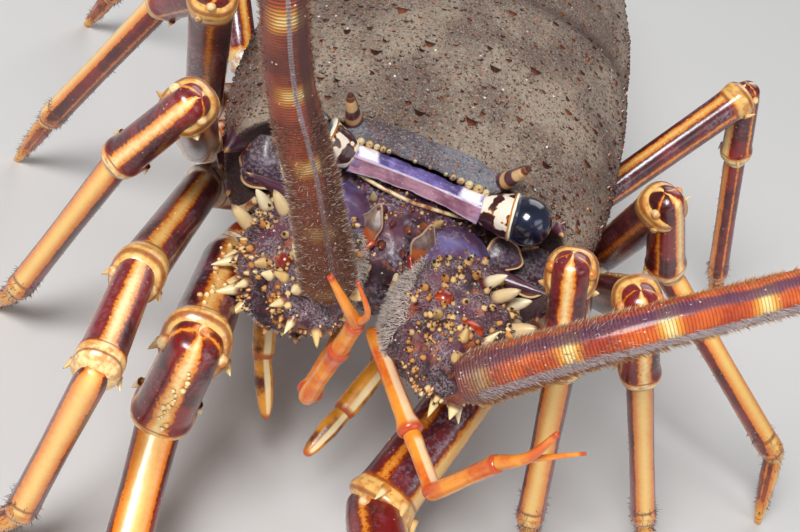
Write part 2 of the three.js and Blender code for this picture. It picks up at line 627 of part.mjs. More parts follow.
for (const side of ['right', 'left']) {
  LEG_POSE[side].forEach((joints, index) => {
    const size = LEG_SIZES[index];
    const [root, hip, knee, wrist, ankle, tip] = joints.map(point);
    const normal = knee.clone().sub(hip).cross(ankle.clone().sub(knee)).normalize();
    const m = size.merus;
    const c = size.carpus;
    const p = size.propodus;
    const d = size.dactyl;
    const merusProfile = [
      [-0.05, m * 0.72, m * 0.72], [0.12, m * 0.88, m * 0.95],
      [0.9, m * 0.95, m * 1.05], [1.01, m * 0.86, m * 0.95],
    ];
    const merus = segment(hip, knee, normal, merusProfile, LEG_SIDES, 0, 2.6);
    const k = size.ischium;
    const ischiumProfile = [[-0.1, k * 1.1, k * 1.1], [0.8, k, k], [1.12, k * 0.85, k * 0.85]];
    const ischium = segment(root, hip, zAxis, ischiumProfile, LEG_SIDES - 2);
    const back = (0.85 * c) / knee.distanceTo(wrist);
    const carpusProfile = [
      [-back, c * 0.55, c * 0.6], [-back * 0.4, c * 0.9, c * 0.94],
      [0.85, c * 0.94, c], [1.04, c * 0.74, c * 0.78],
    ];
    const carpus = (grow) => segment(knee, wrist, normal, carpusProfile, LEG_SIDES, grow, 2.6);
    const upper = [cut(fuse([ischium, merus]), carapaceGrown, sternumGrown, carpus(GAP))];
    const own = [`upper_${index}_${side}`, `lower_${index}_${side}`];
    const rim = index === 0 ? 3.4 : 2.4;
    const rimAngles = index === 0 ? [0.25, 1.1, Math.PI - 0.25, Math.PI - 1.1] : [0.5, Math.PI - 0.5];
    for (const angle of rimAngles) {
      const { place, facing, along } = onSegment(hip, knee, normal, merusProfile, 0.93, -angle, 2.6);
      const heading = facing.clone().multiplyScalar(0.7).add(along);
      upper.push(...spikeIfClear(own, place, heading, rim, rim * 0.38));
    }
    addNode(`leg_${index + 1}_${side}_upper`, 'leg', cut(fuse(upper), carpus(GAP)));
    const low = tip.clone().addScaledVector(tip.clone().sub(ankle).normalize(), 1.2);
    const propodusProfile = [[-0.04, p * 0.86, p * 0.9], [0.9, p * 0.95, p * 1.05], [1.03, p * 0.8, p * 0.8]];
    const dactylProfile = [[-0.1, d * 0.9, d * 0.9], [0.3, d, d], [1, 1.1, 1.1]];
    const lower = [
      carpus(0),
      segment(wrist, ankle, normal, propodusProfile, LEG_SIDES, 0, 2.6),
      segment(ankle, low, normal, dactylProfile, LEG_SIDES - 2),
    ];
    for (const angle of [0.4, Math.PI - 0.4]) {
      const { place, facing, along } = onSegment(knee, wrist, normal, carpusProfile, 0.9, -angle, 2.6);
      const heading = facing.clone().multiplyScalar(0.7).add(along);
      lower.push(...spikeIfClear(own, place, heading, rim * 0.9, rim * 0.36));
    }
    addNode(`leg_${index + 1}_${side}_lower`, 'shank', cut(fuse(lower), floor));
  });
}

// Joint planes of the abdomen lean halfway between the somites on either side.
function jointSlope(index) {
  if (index === 0) return new THREE.Vector3(0, 1, 0);
  const at = (i) => new THREE.Vector3(0, ...ABDOMEN_CENTRES[Math.min(Math.max(i, 0), ABDOMEN_SOMITES)]);
  return at(index + 1).sub(at(index - 1)).normalize();
}

// One somite: domed above and flatter below, from just behind one joint plane to the next.
function somiteShape(index, grow = 0) {
  const [fore, aft] = [index, index + 1].map((i) => new THREE.Vector3(0, ...ABDOMEN_CENTRES[i]));
  const start = fore.addScaledVector(jointSlope(index), GAP - grow);
  const stop = aft.addScaledVector(jointSlope(index + 1), grow);
  const rows = [[0, 0.95], [0.2, 0.99], [0.45, 0.965], [0.6, 1], [1, 0.985]];
  const rings = rows.map(([t, swell]) => {
    const slope = jointSlope(index).lerp(jointSlope(index + 1), t).normalize();
    const centre = start.clone().lerp(stop, t);
    const width = ABDOMEN_HALF_WIDTH[index] + (ABDOMEN_HALF_WIDTH[index + 1] - ABDOMEN_HALF_WIDTH[index]) * t;
    const up = xAxis.clone().cross(slope);
    const points = [];
    const sides = 18;
    for (let j = 0; j < sides; j += 1) {
      const angle = ((j + 0.5) / sides) * Math.PI * 2;
      const c = Math.cos(angle);
      const s = Math.sin(angle);
      const high = s > 0;
      const x = Math.sign(c) * Math.abs(c) ** (high ? 0.92 : 0.6) * (width * swell + grow);
      const rise = (high ? 0.78 : 0.42) * width * swell + grow;
      const z = Math.sign(s) * Math.abs(s) ** (high ? 0.92 : 0.8) * rise;
      points.push(centre.clone().addScaledVector(xAxis, x).addScaledVector(up, z));
    }
    return points;
  });
  return loft(rings);
}

for (let i = 0; i < ABDOMEN_SOMITES; i += 1) {
  const pieces = [somiteShape(i)];
  const next = new THREE.Vector3(0, ...ABDOMEN_CENTRES[i + 1]);
  const middle = new THREE.Vector3(0, ...ABDOMEN_CENTRES[i]).lerp(next, 0.55);
  const width = (ABDOMEN_HALF_WIDTH[i] + ABDOMEN_HALF_WIDTH[i + 1]) / 2;
  const slope = jointSlope(i).add(jointSlope(i + 1)).normalize();
  const down = slope.clone().cross(xAxis).normalize();
  for (const sign of [-1, 1]) {
    const plateAt = (drop, backward, a, b) => ({
      centre: middle.clone().addScaledVector(xAxis, sign * width * 0.87)
        .addScaledVector(down, width * drop).addScaledVector(slope, backward),
      a,
      b,
    });
    if (i === 5) continue;
    const side = [plateAt(0.05, 0, 8, 2.6), plateAt(0.5, 0.9, 6.2, 2)];
    pieces.push(limb(side, slope, 6, 2, plateAt(0.84, 5, 0, 0).centre));
    if (i > 0) {
      const leafAt = (drop, backward, a, b) => ({
        centre: middle.clone().addScaledVector(xAxis, sign * width * 0.5)
          .addScaledVector(down, width * 0.36 + drop).addScaledVector(slope, backward),
        a,
        b,
      });
      const leaf = [leafAt(0, 0, 2, 1.4), leafAt(6, 2.5, 5, 1.1), leafAt(13, 6.5, 3.4, 0.7)];
      pieces.push(limb(leaf, xAxis, 6));
    }
  }
  addNode(`abdomen_${i + 1}`, 'tail', fuse(pieces));
}
const tailRoot = somiteShape(ABDOMEN_SOMITES - 1, GAP);

// Flat tail plate: width and thickness along it, gently ribbed across.
function plate(from, to, across, profile, ribs, grow = 0) {
  const length = from.distanceTo(to);
  const along = to.clone().sub(from).normalize();
  const up = across.clone().cross(along).normalize();
  const sides = ribs * 4;
  const rings = profile.map(([t, width, thickness]) => {
    const end = t === 1 ? grow : 0;
    const centre = from.clone().addScaledVector(along, t * length + end);
    const points = [];
    for (let j = 0; j < sides; j += 1) {
      const angle = ((j + 0.5) / sides) * Math.PI * 2;
      const c = Math.cos(angle);
      const s = Math.sin(angle);
      const rib = j % 2 === 0 ? 1.16 : 0.84;
      const z = Math.sign(s) * Math.abs(s) ** 0.6 * (thickness * 0.5 * rib + grow);
      points.push(centre.clone().addScaledVector(across, c * (width + grow)).addScaledVector(up, z));
    }
    return points;
  });
  return loft(rings);
}

const [tailY, tailZ] = ABDOMEN_CENTRES[ABDOMEN_SOMITES];
const telsonFrom = new THREE.Vector3(0, tailY - 6, tailZ + 4);
const telsonTo = new THREE.Vector3(0, tailY + 46, 10);
const fanProfile = [[0, 0.55, 5], [0.25, 0.9, 4.8], [0.7, 1, 2.6], [0.9, 0.92, 2], [1, 0.62, 1.5]];
const sized = (width) => fanProfile.map(([t, w, h]) => [t, w * width, h]);
const telson = (grow) => plate(telsonFrom, telsonTo, xAxis, sized(14), 5, grow);
addNode('telson', 'fan', cut(telson(0), tailRoot));
for (const [side, sign] of [['right', -1], ['left', 1]]) {
  const fans = [['inner', 0.42, 11.5, 11, -1.5, -0.26], ['outer', 0.85, 12.5, 15, -6, -0.2]];
  let above = telson(GAP);
  for (const [name, turn, width, x, drop, dip] of fans) {
    const from = new THREE.Vector3(sign * x, tailY - 3, tailZ + drop);
    const heading = new THREE.Vector3(sign * Math.sin(turn), Math.cos(turn), dip).normalize();
    const to = from.clone().addScaledVector(heading, 44);
    const across = new THREE.Vector3(Math.cos(turn), -sign * Math.sin(turn), 0);
    const fan = (grow) => plate(from, to, across, sized(width), 4, grow);
    addNode(`uropod_${side}_${name}`, 'fan', cut(fan(0), tailRoot, above));
    above = fan(GAP);
  }
}

const centre = bounds.getCenter(new THREE.Vector3());
animal.position.set(-centre.x, -centre.y, -bounds.min.z);
const object = new THREE.Group();
object.add(animal);

export default object;
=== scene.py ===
# %% [markdown]
# # A spiny lobster, dressed over its solids
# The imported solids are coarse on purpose: they hold the true pose and outline.
# Every piece here is laid over one of them, finer and with the finish of the living animal.
# The sizes are the animal's own, in millimetres, with y running back from the front edge of
# its back shell, and one offset read from the frame puts them in the scene.

# %% Load the solids
import math

import bpy
import numpy as np
from mathutils import Matrix, Vector, noise


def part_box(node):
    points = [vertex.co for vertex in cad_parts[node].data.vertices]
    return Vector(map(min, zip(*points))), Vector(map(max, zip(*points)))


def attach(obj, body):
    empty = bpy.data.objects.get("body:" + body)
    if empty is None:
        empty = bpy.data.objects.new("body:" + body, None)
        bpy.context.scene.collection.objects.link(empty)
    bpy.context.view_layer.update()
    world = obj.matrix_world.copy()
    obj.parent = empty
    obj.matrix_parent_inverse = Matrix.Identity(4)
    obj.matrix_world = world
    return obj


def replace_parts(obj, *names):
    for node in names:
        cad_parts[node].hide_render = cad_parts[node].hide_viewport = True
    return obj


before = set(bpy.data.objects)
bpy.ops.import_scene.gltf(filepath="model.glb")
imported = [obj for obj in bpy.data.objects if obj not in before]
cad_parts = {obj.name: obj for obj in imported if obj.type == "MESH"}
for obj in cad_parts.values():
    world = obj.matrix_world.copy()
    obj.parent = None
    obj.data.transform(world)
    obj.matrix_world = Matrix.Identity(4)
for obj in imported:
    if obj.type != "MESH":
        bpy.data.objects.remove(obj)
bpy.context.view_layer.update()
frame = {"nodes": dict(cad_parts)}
bpy.ops.object.select_all(action="DESELECT")

MM = 0.001
SHELL_LENGTH = 122.0
eye_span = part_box("eye_left")[1][0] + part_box("eye_right")[0][0]
HOME = np.array([eye_span / 2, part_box("carapace")[1][1] - SHELL_LENGTH * MM, 0.0])
print("animal's origin in the scene:", HOME.round(4))

# %% [markdown]
# ## Camera
# The photo looks down on the head at a slant, with the camera rolled, so the eyes run down
# to the right. The camera stands 290 mm from the head. A constraint that aims it at the head
# would be simpler, but it gives no roll, so the axes are worked out from three plain angles.

# %% Camera
TURN, DIP, ROLL = math.radians(5), math.radians(36), math.radians(25)
VIEW_ANGLE = math.radians(30)
CAMERA_PLACE = np.array([-17.588, -250.675, 233.411])

ahead = Vector((math.sin(TURN) * math.cos(DIP), math.cos(TURN) * math.cos(DIP), -math.sin(DIP)))
level = Vector((math.cos(TURN), -math.sin(TURN), 0))
above = level.cross(ahead)
right = level * math.cos(ROLL) + above * math.sin(ROLL)
top = above * math.cos(ROLL) - level * math.sin(ROLL)
bpy.ops.object.camera_add()
camera = bpy.context.object
camera.name = "camera"
axes = Matrix((right, top, -ahead)).transposed().to_4x4()
camera.matrix_world = Matrix.Translation(Vector(HOME + CAMERA_PLACE * MM)) @ axes
camera.data.sensor_fit = "HORIZONTAL"
camera.data.angle = VIEW_ANGLE
camera.data.clip_start = 0.01
bpy.context.scene.camera = camera
print("camera stands at:", (HOME + CAMERA_PLACE * MM).round(4))

# %% [markdown]
# ## Floor and light
# A pale floor and three large soft lamps. A picture of a studio could light it too, but lamps
# are easy to move. The strongest stands high on the left, as the flash did, so the shadows
# stay soft and the wet gloss of the shell shows.

# %% Floor and light
bpy.ops.mesh.primitive_plane_add(size=6, location=(0, 0, 0))
floor = bpy.context.object
floor.name = "floor"
floor_finish = bpy.data.materials.new("floor_finish")
floor_finish.use_nodes = True
floor_finish.node_tree.nodes["Principled BSDF"].inputs["Base Color"].default_value = (0.62, 0.61, 0.6, 1)
floor_finish.node_tree.nodes["Principled BSDF"].inputs["Roughness"].default_value = 0.9
floor.data.materials.append(floor_finish)

LAMPS = {
    "key": ((-0.35, -0.65, 0.8), 0.35, 15),
    "fill": ((0.7, -0.6, 0.5), 0.7, 4),
    "back": ((0.1, 0.8, 0.8), 0.8, 6),
}
for name, (place, size, power) in LAMPS.items():
    bpy.ops.object.light_add(type="AREA", location=place)
    lamp = bpy.context.object
    lamp.name = "lamp_" + name
    lamp.data.size = size
    lamp.data.energy = power
    lamp.rotation_euler = (Vector((0, 0, 0.05)) - Vector(place)).to_track_quat("-Z", "Y").to_euler()
world = bpy.data.worlds.new("studio")
world.use_nodes = True
world.node_tree.nodes["Background"].inputs["Color"].default_value = (0.8, 0.85, 0.9, 1)
world.node_tree.nodes["Background"].inputs["Strength"].default_value = 0.3
bpy.context.scene.world = world
view = bpy.context.scene.view_settings
view.view_transform = "Standard"
view.exposure = -0.45
print("lamps:", ", ".join(LAMPS))

# %% [markdown]
# ## Helpers for skins
# Nearly every part of the animal is a tube of some kind. Sculpting could make it too, but
# rings keep the sizes of the solids. A flat grid is added, its points are rolled round the
# rings that describe the part, and the open seam and ends are merged shut. Each point keeps
# where it sits on the part, as an attribute that the finishes read.

# %% Skins from rings
def smooth_rows(table, count, softness=0.05):
    table = np.array(table, float)
    t = np.linspace(table[0, 0], table[-1, 0], count)
    columns = np.stack([np.interp(t, table[:, 0], table[:, k]) for k in range(table.shape[1])], axis=1)
    width = max(1, int(count * softness))
    padded = np.concatenate([
        2 * columns[:1] - columns[width:0:-1], columns, 2 * columns[-1:] - columns[-2:-width - 2:-1]
    ])
    kernel = np.hanning(2 * width + 3)[1:-1]
    kernel /= kernel.sum()
    out = np.stack([np.convolve(padded[:, k], kernel, "same") for k in range(columns.shape[1])], axis=1)
    return out[width:width + count]


def unit(v):
    v = np.asarray(v, float)
    return v / np.linalg.norm(v, axis=-1, keepdims=True)


def round_angles(count):
    """Angles of so many points, spread evenly round a ring."""
    return (np.arange(count) + 0.5) / count * 2 * math.pi


def power_angle(angles, power):
    c, s = np.cos(angles), np.sin(angles)
    return np.sign(c) * abs(c) ** (2 / power), np.sign(s) * abs(s) ** (2 / power)


def skin(name, rings, along=None, material=None):
    """Closed skin through rings of points in millimetres, shaped (rings, sides, 3)."""
    rings = np.asarray(rings, float)
    count, sides = rings.shape[:2]
    along = np.linspace(0, 1, count) if along is None else np.asarray(along, float)
    first, last = rings[:1].mean(axis=1, keepdims=True), rings[-1:].mean(axis=1, keepdims=True)
    rings = np.concatenate([np.repeat(first, sides, 1), rings, np.repeat(last, sides, 1)])
    beyond = 0.05 * (along[-1] - along[0])
    along = np.concatenate([along[:1], along, along[-1:] + beyond])
    count += 2
    bpy.ops.object.select_all(action="DESELECT")
    bpy.ops.mesh.primitive_grid_add(x_subdivisions=sides, y_subdivisions=count - 1, size=1)
    piece = bpy.context.object
    piece.name = name
    mesh = piece.data
    co = np.empty(len(mesh.vertices) * 3)
    mesh.vertices.foreach_get("co", co)
    co = co.reshape(-1, 3)
    j = np.rint((co[:, 0] + 0.5) * sides).astype(int)
    i = np.rint((co[:, 1] + 0.5) * (count - 1)).astype(int)
    mesh.vertices.foreach_set("co", (HOME + rings[i, j % sides] * MM).ravel())
    angle = (j + 0.5) / sides * 2 * math.pi
    mark(piece, np.stack([np.cos(angle), np.sin(angle), along[i]], axis=1))
    bpy.ops.object.mode_set(mode="EDIT")
    bpy.ops.mesh.select_all(action="SELECT")
    bpy.ops.mesh.remove_doubles(threshold=1e-6)
    bpy.ops.mesh.normals_make_consistent(inside=False)
    bpy.ops.object.mode_set(mode="OBJECT")
    bpy.ops.object.shade_smooth()
    return dye(piece, material)


def mark(piece, values, name="lie"):
    layer = piece.data.attributes.new(name, "FLOAT_VECTOR", "POINT")
    layer.data.foreach_set("vector", np.asarray(values, float).ravel())


def rings_along(centres, a, b, normal, sides, power=2.3, tangents=None):
    centres = np.asarray(centres, float)
    tangents = unit(np.gradient(centres, axis=0)) if tangents is None else tangents
    normal = np.broadcast_to(np.asarray(normal, float), centres.shape)
    across = unit(normal - tangents * (normal * tangents).sum(1, keepdims=True))
    up = np.cross(tangents, across)
    x, y = power_angle(round_angles(sides), power)
    a, b = np.asarray(a)[:, None], np.asarray(b)[:, None]
    return centres[:, None] + across[:, None] * (x * a)[..., None] + up[:, None] * (y * b)[..., None]


def segment(
    name, start, stop, normal, profile, sides=28, count=40, power=2.4, softness=0.045, round_ends=True,
    material=None,
):
    start, stop = np.asarray(start, float), np.asarray(stop, float)
    rows = smooth_rows(profile, count, softness)
    t, a, b = rows[:, 0], rows[:, 1], rows[:, 2]
    if round_ends:
        edge = 0.06
        near = np.clip(np.minimum(np.linspace(0, 1, count), np.linspace(1, 0, count)) / edge, 0, 1)
        rounding = np.sqrt(1 - (1 - near) ** 2) * 0.35 + 0.65
        a, b = a * rounding, b * rounding
    centres = start + (stop - start) * t[:, None]
    direction = np.broadcast_to(unit(stop - start), centres.shape)
    return skin(name, rings_along(centres, a, b, normal, sides, power, direction), t, material)


def dye(piece, material):
    if material:
        piece.data.materials.append(material)
    return piece


def join(pieces, name):
    bpy.ops.object.select_all(action="DESELECT")
    for piece in pieces:
        piece.select_set(True)
    bpy.context.view_layer.objects.active = pieces[0]
    if len(pieces) > 1:
        bpy.ops.object.join()
    pieces[0].name = name
    pieces[0].data.name = name
    return pieces[0]


print("angles of a ring of four points:", round_angles(4).round(3))

# %% [markdown]
# ## Spines and bristles
# A cone with a wide foot and a fine tip is modelled once, and then set at each root as part
# of one joined mesh. Instances would be lighter, but a joined mesh goes into every export. Its
# points know how far they are towards the tip, so the finish can run from the shell's colour
# to a pale shaft and a dark point.

# %% One spine, one bristle
def model_spine(sides, rows, hook):
    bpy.ops.object.select_all(action="DESELECT")
    bpy.ops.mesh.primitive_circle_add(vertices=sides, radius=1, fill_type="TRIFAN")
    piece = bpy.context.object
    bpy.ops.object.mode_set(mode="EDIT")
    bpy.ops.mesh.select_all(action="SELECT")
    height = 0.0
    width = 1.0
    for top_height, top_width in rows:
        bpy.ops.mesh.extrude_region_move(TRANSFORM_OT_translate={"value": (0, 0, top_height - height)})
        k = top_width / width
        bpy.ops.transform.resize(value=(k, k, 1), center_override=(0, 0, top_height))
        height, width = top_height, top_width
    bpy.ops.object.mode_set(mode="OBJECT")
    mesh = piece.data
    co = np.array([v.co for v in mesh.vertices])
    co[:, 0] += hook * co[:, 2] ** 2
    faces = [list(f.vertices) for f in mesh.polygons if f.normal.z > -0.99]
    bpy.data.objects.remove(piece)
    return co, faces


SPINE = model_spine(8, [(0.12, 0.84), (0.4, 0.62), (0.72, 0.34), (0.93, 0.12), (1.0, 0.02)], 0.0)
BLUNT_SPINE = model_spine(
    10, [(0.18, 1.0), (0.45, 0.95), (0.68, 0.76), (0.86, 0.46), (0.96, 0.2), (1.0, 0.04)], -0.12
)
SMALL_SPINE = model_spine(5, [(0.35, 0.6), (1.0, 0.05)], 0.0)
GRANULE = model_spine(4, [(1.0, 0.12)], 0.0)
BRISTLE = model_spine(3, [(0.55, 0.75), (1.0, 0.05)], 0.14)
print("faces of a spine, a small spine and a bristle:", len(SPINE[1]), len(SMALL_SPINE[1]), len(BRISTLE[1]))


def sow(name, shape, places, headings, lengths, radii, sink=0.25, material=None):
    """One mesh with a copy of the shape at every root; roots are sunk by a part of the radius."""
    co, faces = shape
    places = np.asarray(places, float)
    headings = unit(headings)
    n = len(places)
    lengths = np.broadcast_to(lengths, n)[:, None]
    radii = np.broadcast_to(radii, n)[:, None]
    aside = np.array([0.0, 1.0, 0.0]) + 1e-4 * np.array([1.0, 0.3, 0.7])
    x = unit(aside - headings * (aside * headings).sum(1, keepdims=True))
    y = np.cross(headings, x)
    sunk = places - headings * radii * sink
    points = (
        sunk[:, None]
        + x[:, None] * (co[:, 0] * radii)[..., None]
        + y[:, None] * (co[:, 1] * radii)[..., None]
        + headings[:, None] * (co[:, 2] * (lengths + radii * sink))[..., None]
    )
    size = len(co)
    all_faces = [[v + k * size for v in face] for k in range(n) for face in faces]
    mesh = bpy.data.meshes.new(name)
    mesh.from_pydata((HOME + points.reshape(-1, 3) * MM).tolist(), [], all_faces)
    piece = bpy.data.objects.new(name, mesh)
    bpy.context.collection.objects.link(piece)
    tip = np.tile(co[:, 2], n)
    number = np.repeat(np.arange(n) * 0.618 % 1.0, size)
    mark(piece, np.stack([tip, number, 0 * tip], axis=1), "tip")
    mesh.shade_smooth()
    return dye(piece, material)


def paired_spines(name, rows, material):
    """Spines listed for the left side as place, heading, length and radius, mirrored to the right."""
    table = np.array([np.array(row) * [sign, 1, 1, sign, 1, 1, 1, 1] for row in rows for sign in (-1, 1)])
    return sow(name, SPINE, table[:, :3], table[:, 3:6], table[:, 6], table[:, 7], material=material)


class Dice:
    """The same row of chance numbers that places the spines of the solids."""

    def __init__(self, seed):
        self.seed = seed

    def roll(self):
        self.seed = (self.seed * 1664525 + 1013904223) % 4294967296
        return self.seed / 4294967296


dice = Dice(20)
chance = np.random.default_rng(7)
SIDES = (("right", -1), ("left", 1))

# %% [markdown]
# ## Finishes
# The finishes read the object's own coordinates, or the attribute that each skin carries.
# Painted images would need a flat map of every piece, and these need none. A few helpers keep
# the nodes short: each puts one node into the tree of the sockets that feed it.

# %% Node helpers
NODE_SETTINGS = {"operation", "data_type", "interpolation_type", "attribute_name"}


def feed(value, socket):
    """Links a socket to another one, or sets a plain value on it."""
    if isinstance(value, bpy.types.NodeSocket):
        socket.id_data.links.new(value, socket)
    else:
        socket.default_value = value


def put(kind, **inputs):
    """A new node, in the tree of the sockets that feed it. A name such as i2 is a socket's number."""
    tree = next(value.id_data for value in inputs.values() if isinstance(value, bpy.types.NodeSocket))
    node = tree.nodes.new(kind)
    for key, value in inputs.items():
        if key in NODE_SETTINGS:
            setattr(node, key, value)
        else:
            feed(value, node.inputs[int(key[1:]) if key[1:].isdigit() else key.replace("_", " ")])
    return node.outputs


def calc(operation, a, b=0.0, c=0.0):
    return put("ShaderNodeMath", operation=operation, i0=a, i1=b, i2=c)[0]


def times(a, b):
    return calc("MULTIPLY", a, b)


def fade(value, low, high, out_low=0.0, out_high=1.0):
    """Runs smoothly from out_low to out_high as the value goes from low to high."""
    limits = {"i1": low, "i2": high, "i3": out_low, "i4": out_high}
    return put("ShaderNodeMapRange", interpolation_type="SMOOTHSTEP", i0=value, **limits)[0]


def blend(factor, a, b):
    return put("ShaderNodeMix", data_type="RGBA", i0=factor, i6=a, i7=b)[2]


def tone(hexadecimal):
    """Colour of a #rrggbb name, as light values."""
    values = [int(hexadecimal[k:k + 2], 16) / 255 for k in (1, 3, 5)]
    return tuple(v / 12.92 if v < 0.04045 else ((v + 0.055) / 1.055) ** 2.4 for v in values) + (1.0,)


def paint(colour, mask, name, strength=1.0):
    """Lays the tone of that name over a colour where the mask is high."""
    return blend(mask if strength == 1.0 else times(mask, strength), colour, tone(name))


def group(name, inputs, outputs):
    tree = bpy.data.node_groups.new(name, "ShaderNodeTree")
    for title, kind, value in inputs:
        socket = tree.interface.new_socket(title, in_out="INPUT", socket_type=kind)
        if value is not None:
            socket.default_value = value
    for title, kind in outputs:
        tree.interface.new_socket(title, in_out="OUTPUT", socket_type=kind)
    return tree, tree.nodes.new("NodeGroupInput").outputs, tree.nodes.new("NodeGroupOutput").inputs


print("light values of a middle grey:", np.round(tone("#808080"), 3))

# %% [markdown]
# ## Mottle and grain
# No part of the shell has one flat colour: it changes in soft patches, and it is never quite
# smooth. Each finish could hold its own nodes for that, but two node groups with named inputs
# give all of them the same mottle and the same grain, each at its own size.

# %% Groups: mottle and grain
mottle, take, give = group(
    "mottle",
    [("Place", "NodeSocketVector", None), ("Light", "NodeSocketColor", (1, 1, 1, 1)),
     ("Dark", "NodeSocketColor", (0, 0, 0, 1)), ("Patch Size", "NodeSocketFloat", 60.0),
     ("Balance", "NodeSocketFloat", 0.5)],
    [("Color", "NodeSocketColor")],
)
cloud = put(
    "ShaderNodeTexNoise", Vector=take["Place"], Scale=take["Patch Size"], Detail=5.0, Roughness=0.62
)
edge = calc("SUBTRACT", cloud[0], take["Balance"])
feed(blend(fade(edge, -0.11, 0.11), take["Dark"], take["Light"]), give["Color"])

grain, take, give = group(
    "grain",
    [
        ("Place", "NodeSocketVector", None), ("Pit Size", "NodeSocketFloat", 900.0),
        ("Depth", "NodeSocketFloat", 0.3)
    ],
    [("Normal", "NodeSocketVector")],
)
pits = put("ShaderNodeTexNoise", Vector=take["Place"], Scale=take["Pit Size"], Detail=4.0, Roughness=0.65)
swell = put("ShaderNodeTexNoise", Vector=take["Place"], Scale=times(take["Pit Size"], 0.18), Detail=2.0)
height = calc("ADD", times(pits[0], 0.6), times(swell[0], 0.6))
relief = put("ShaderNodeBump", Height=height, Strength=take["Depth"], Distance=0.0006)
feed(relief[0], give["Normal"])
print("groups:", mottle.name, "and", grain.name)


def finish(name, roughness=0.5, coat=0.0, subsurface=0.0):
    """An empty finish: its material, the sockets of its shader and the object coordinates."""
    material = bpy.data.materials.new(name)
    material.use_nodes = True
    tree = material.node_tree
    shader = tree.nodes["Principled BSDF"]
    shader.inputs["Roughness"].default_value = roughness
    shader.inputs["Coat Weight"].default_value = coat
    shader.inputs["Coat Roughness"].default_value = 0.15
    if subsurface:
        shader.inputs["Subsurface Weight"].default_value = subsurface
        shader.inputs["Subsurface Scale"].default_value = 0.002
    place = tree.nodes.new("ShaderNodeTexCoord").outputs["Object"]
    return material, shader.inputs, place


def use_group(shared, place, **inputs):
    node = place.id_data.nodes.new("ShaderNodeGroup")
    node.node_tree = shared
    for key, value in {"Place": place, **inputs}.items():
        feed(value, node.inputs[key.replace("_", " ")])
    return node.outputs[0]


def mottled(place, light, dark, patch_size, balance):
    """Two tones in soft patches, at so many patches to a metre."""
    return use_group(
        mottle, place, Light=tone(light), Dark=tone(dark), Patch_Size=patch_size, Balance=balance
    )


def turn_of(lie):
    """Angle round a skin, from its top, in radians."""
    return calc("ARCTAN2", lie[0], lie[1])


def near_to(value, middle, reach, edge):
    """One within reach of the middle value, fading to nothing over the edge."""
    far = calc("ABSOLUTE", calc("SUBTRACT", value, middle))
    return fade(far, reach, reach + edge, 1.0, 0.0)


def cells_of(place, size, low, high, strength):
    """Small round specks, one in each cell, and a chance colour for each cell."""
    cells = put("ShaderNodeTexVoronoi", Vector=place, Scale=size, Randomness=1.0)
    return fade(cells[0], low, high, strength, 0.0), cells[1]


def cloud_of(place, size, detail=3.0):
    return put("ShaderNodeTexNoise", Vector=place, Scale=size, Detail=detail, Roughness=0.6)[0]


def dust_of(place, fine, low, high, wide, wide_low, wide_high):
    """Fine dust that lies in wide drifts."""
    return times(
        fade(cloud_of(place, fine, 4.0), low, high), fade(cloud_of(place, wide), wide_low, wide_high)
    )


def lie_of(place, name="lie"):
    """The three numbers that each point keeps about its place on its own part."""
    node = place.id_data.nodes.new("ShaderNodeAttribute")
    node.attribute_name = name
    return put("ShaderNodeSeparateXYZ", Vector=node.outputs["Vector"])


def surface(shader, place, colour, pit_size, depth):
    """Gives the shader its colour and a fine grain, at so many pits to a metre."""
    feed(colour, shader["Base Color"])
    feed(use_group(grain, place, Pit_Size=pit_size, Depth=depth), shader["Normal"])


# %% [markdown]
# ## Felt of the back shell
# The back shell wears a short grey-brown felt with rust and sand-coloured dots. Strands would
# be far too many for a coat this thin. So noise and small cells paint it, and a bump makes it
# rough. The dark line of the neck groove and the bands of the rear rim follow the numbers
# that each point of the skin carries.

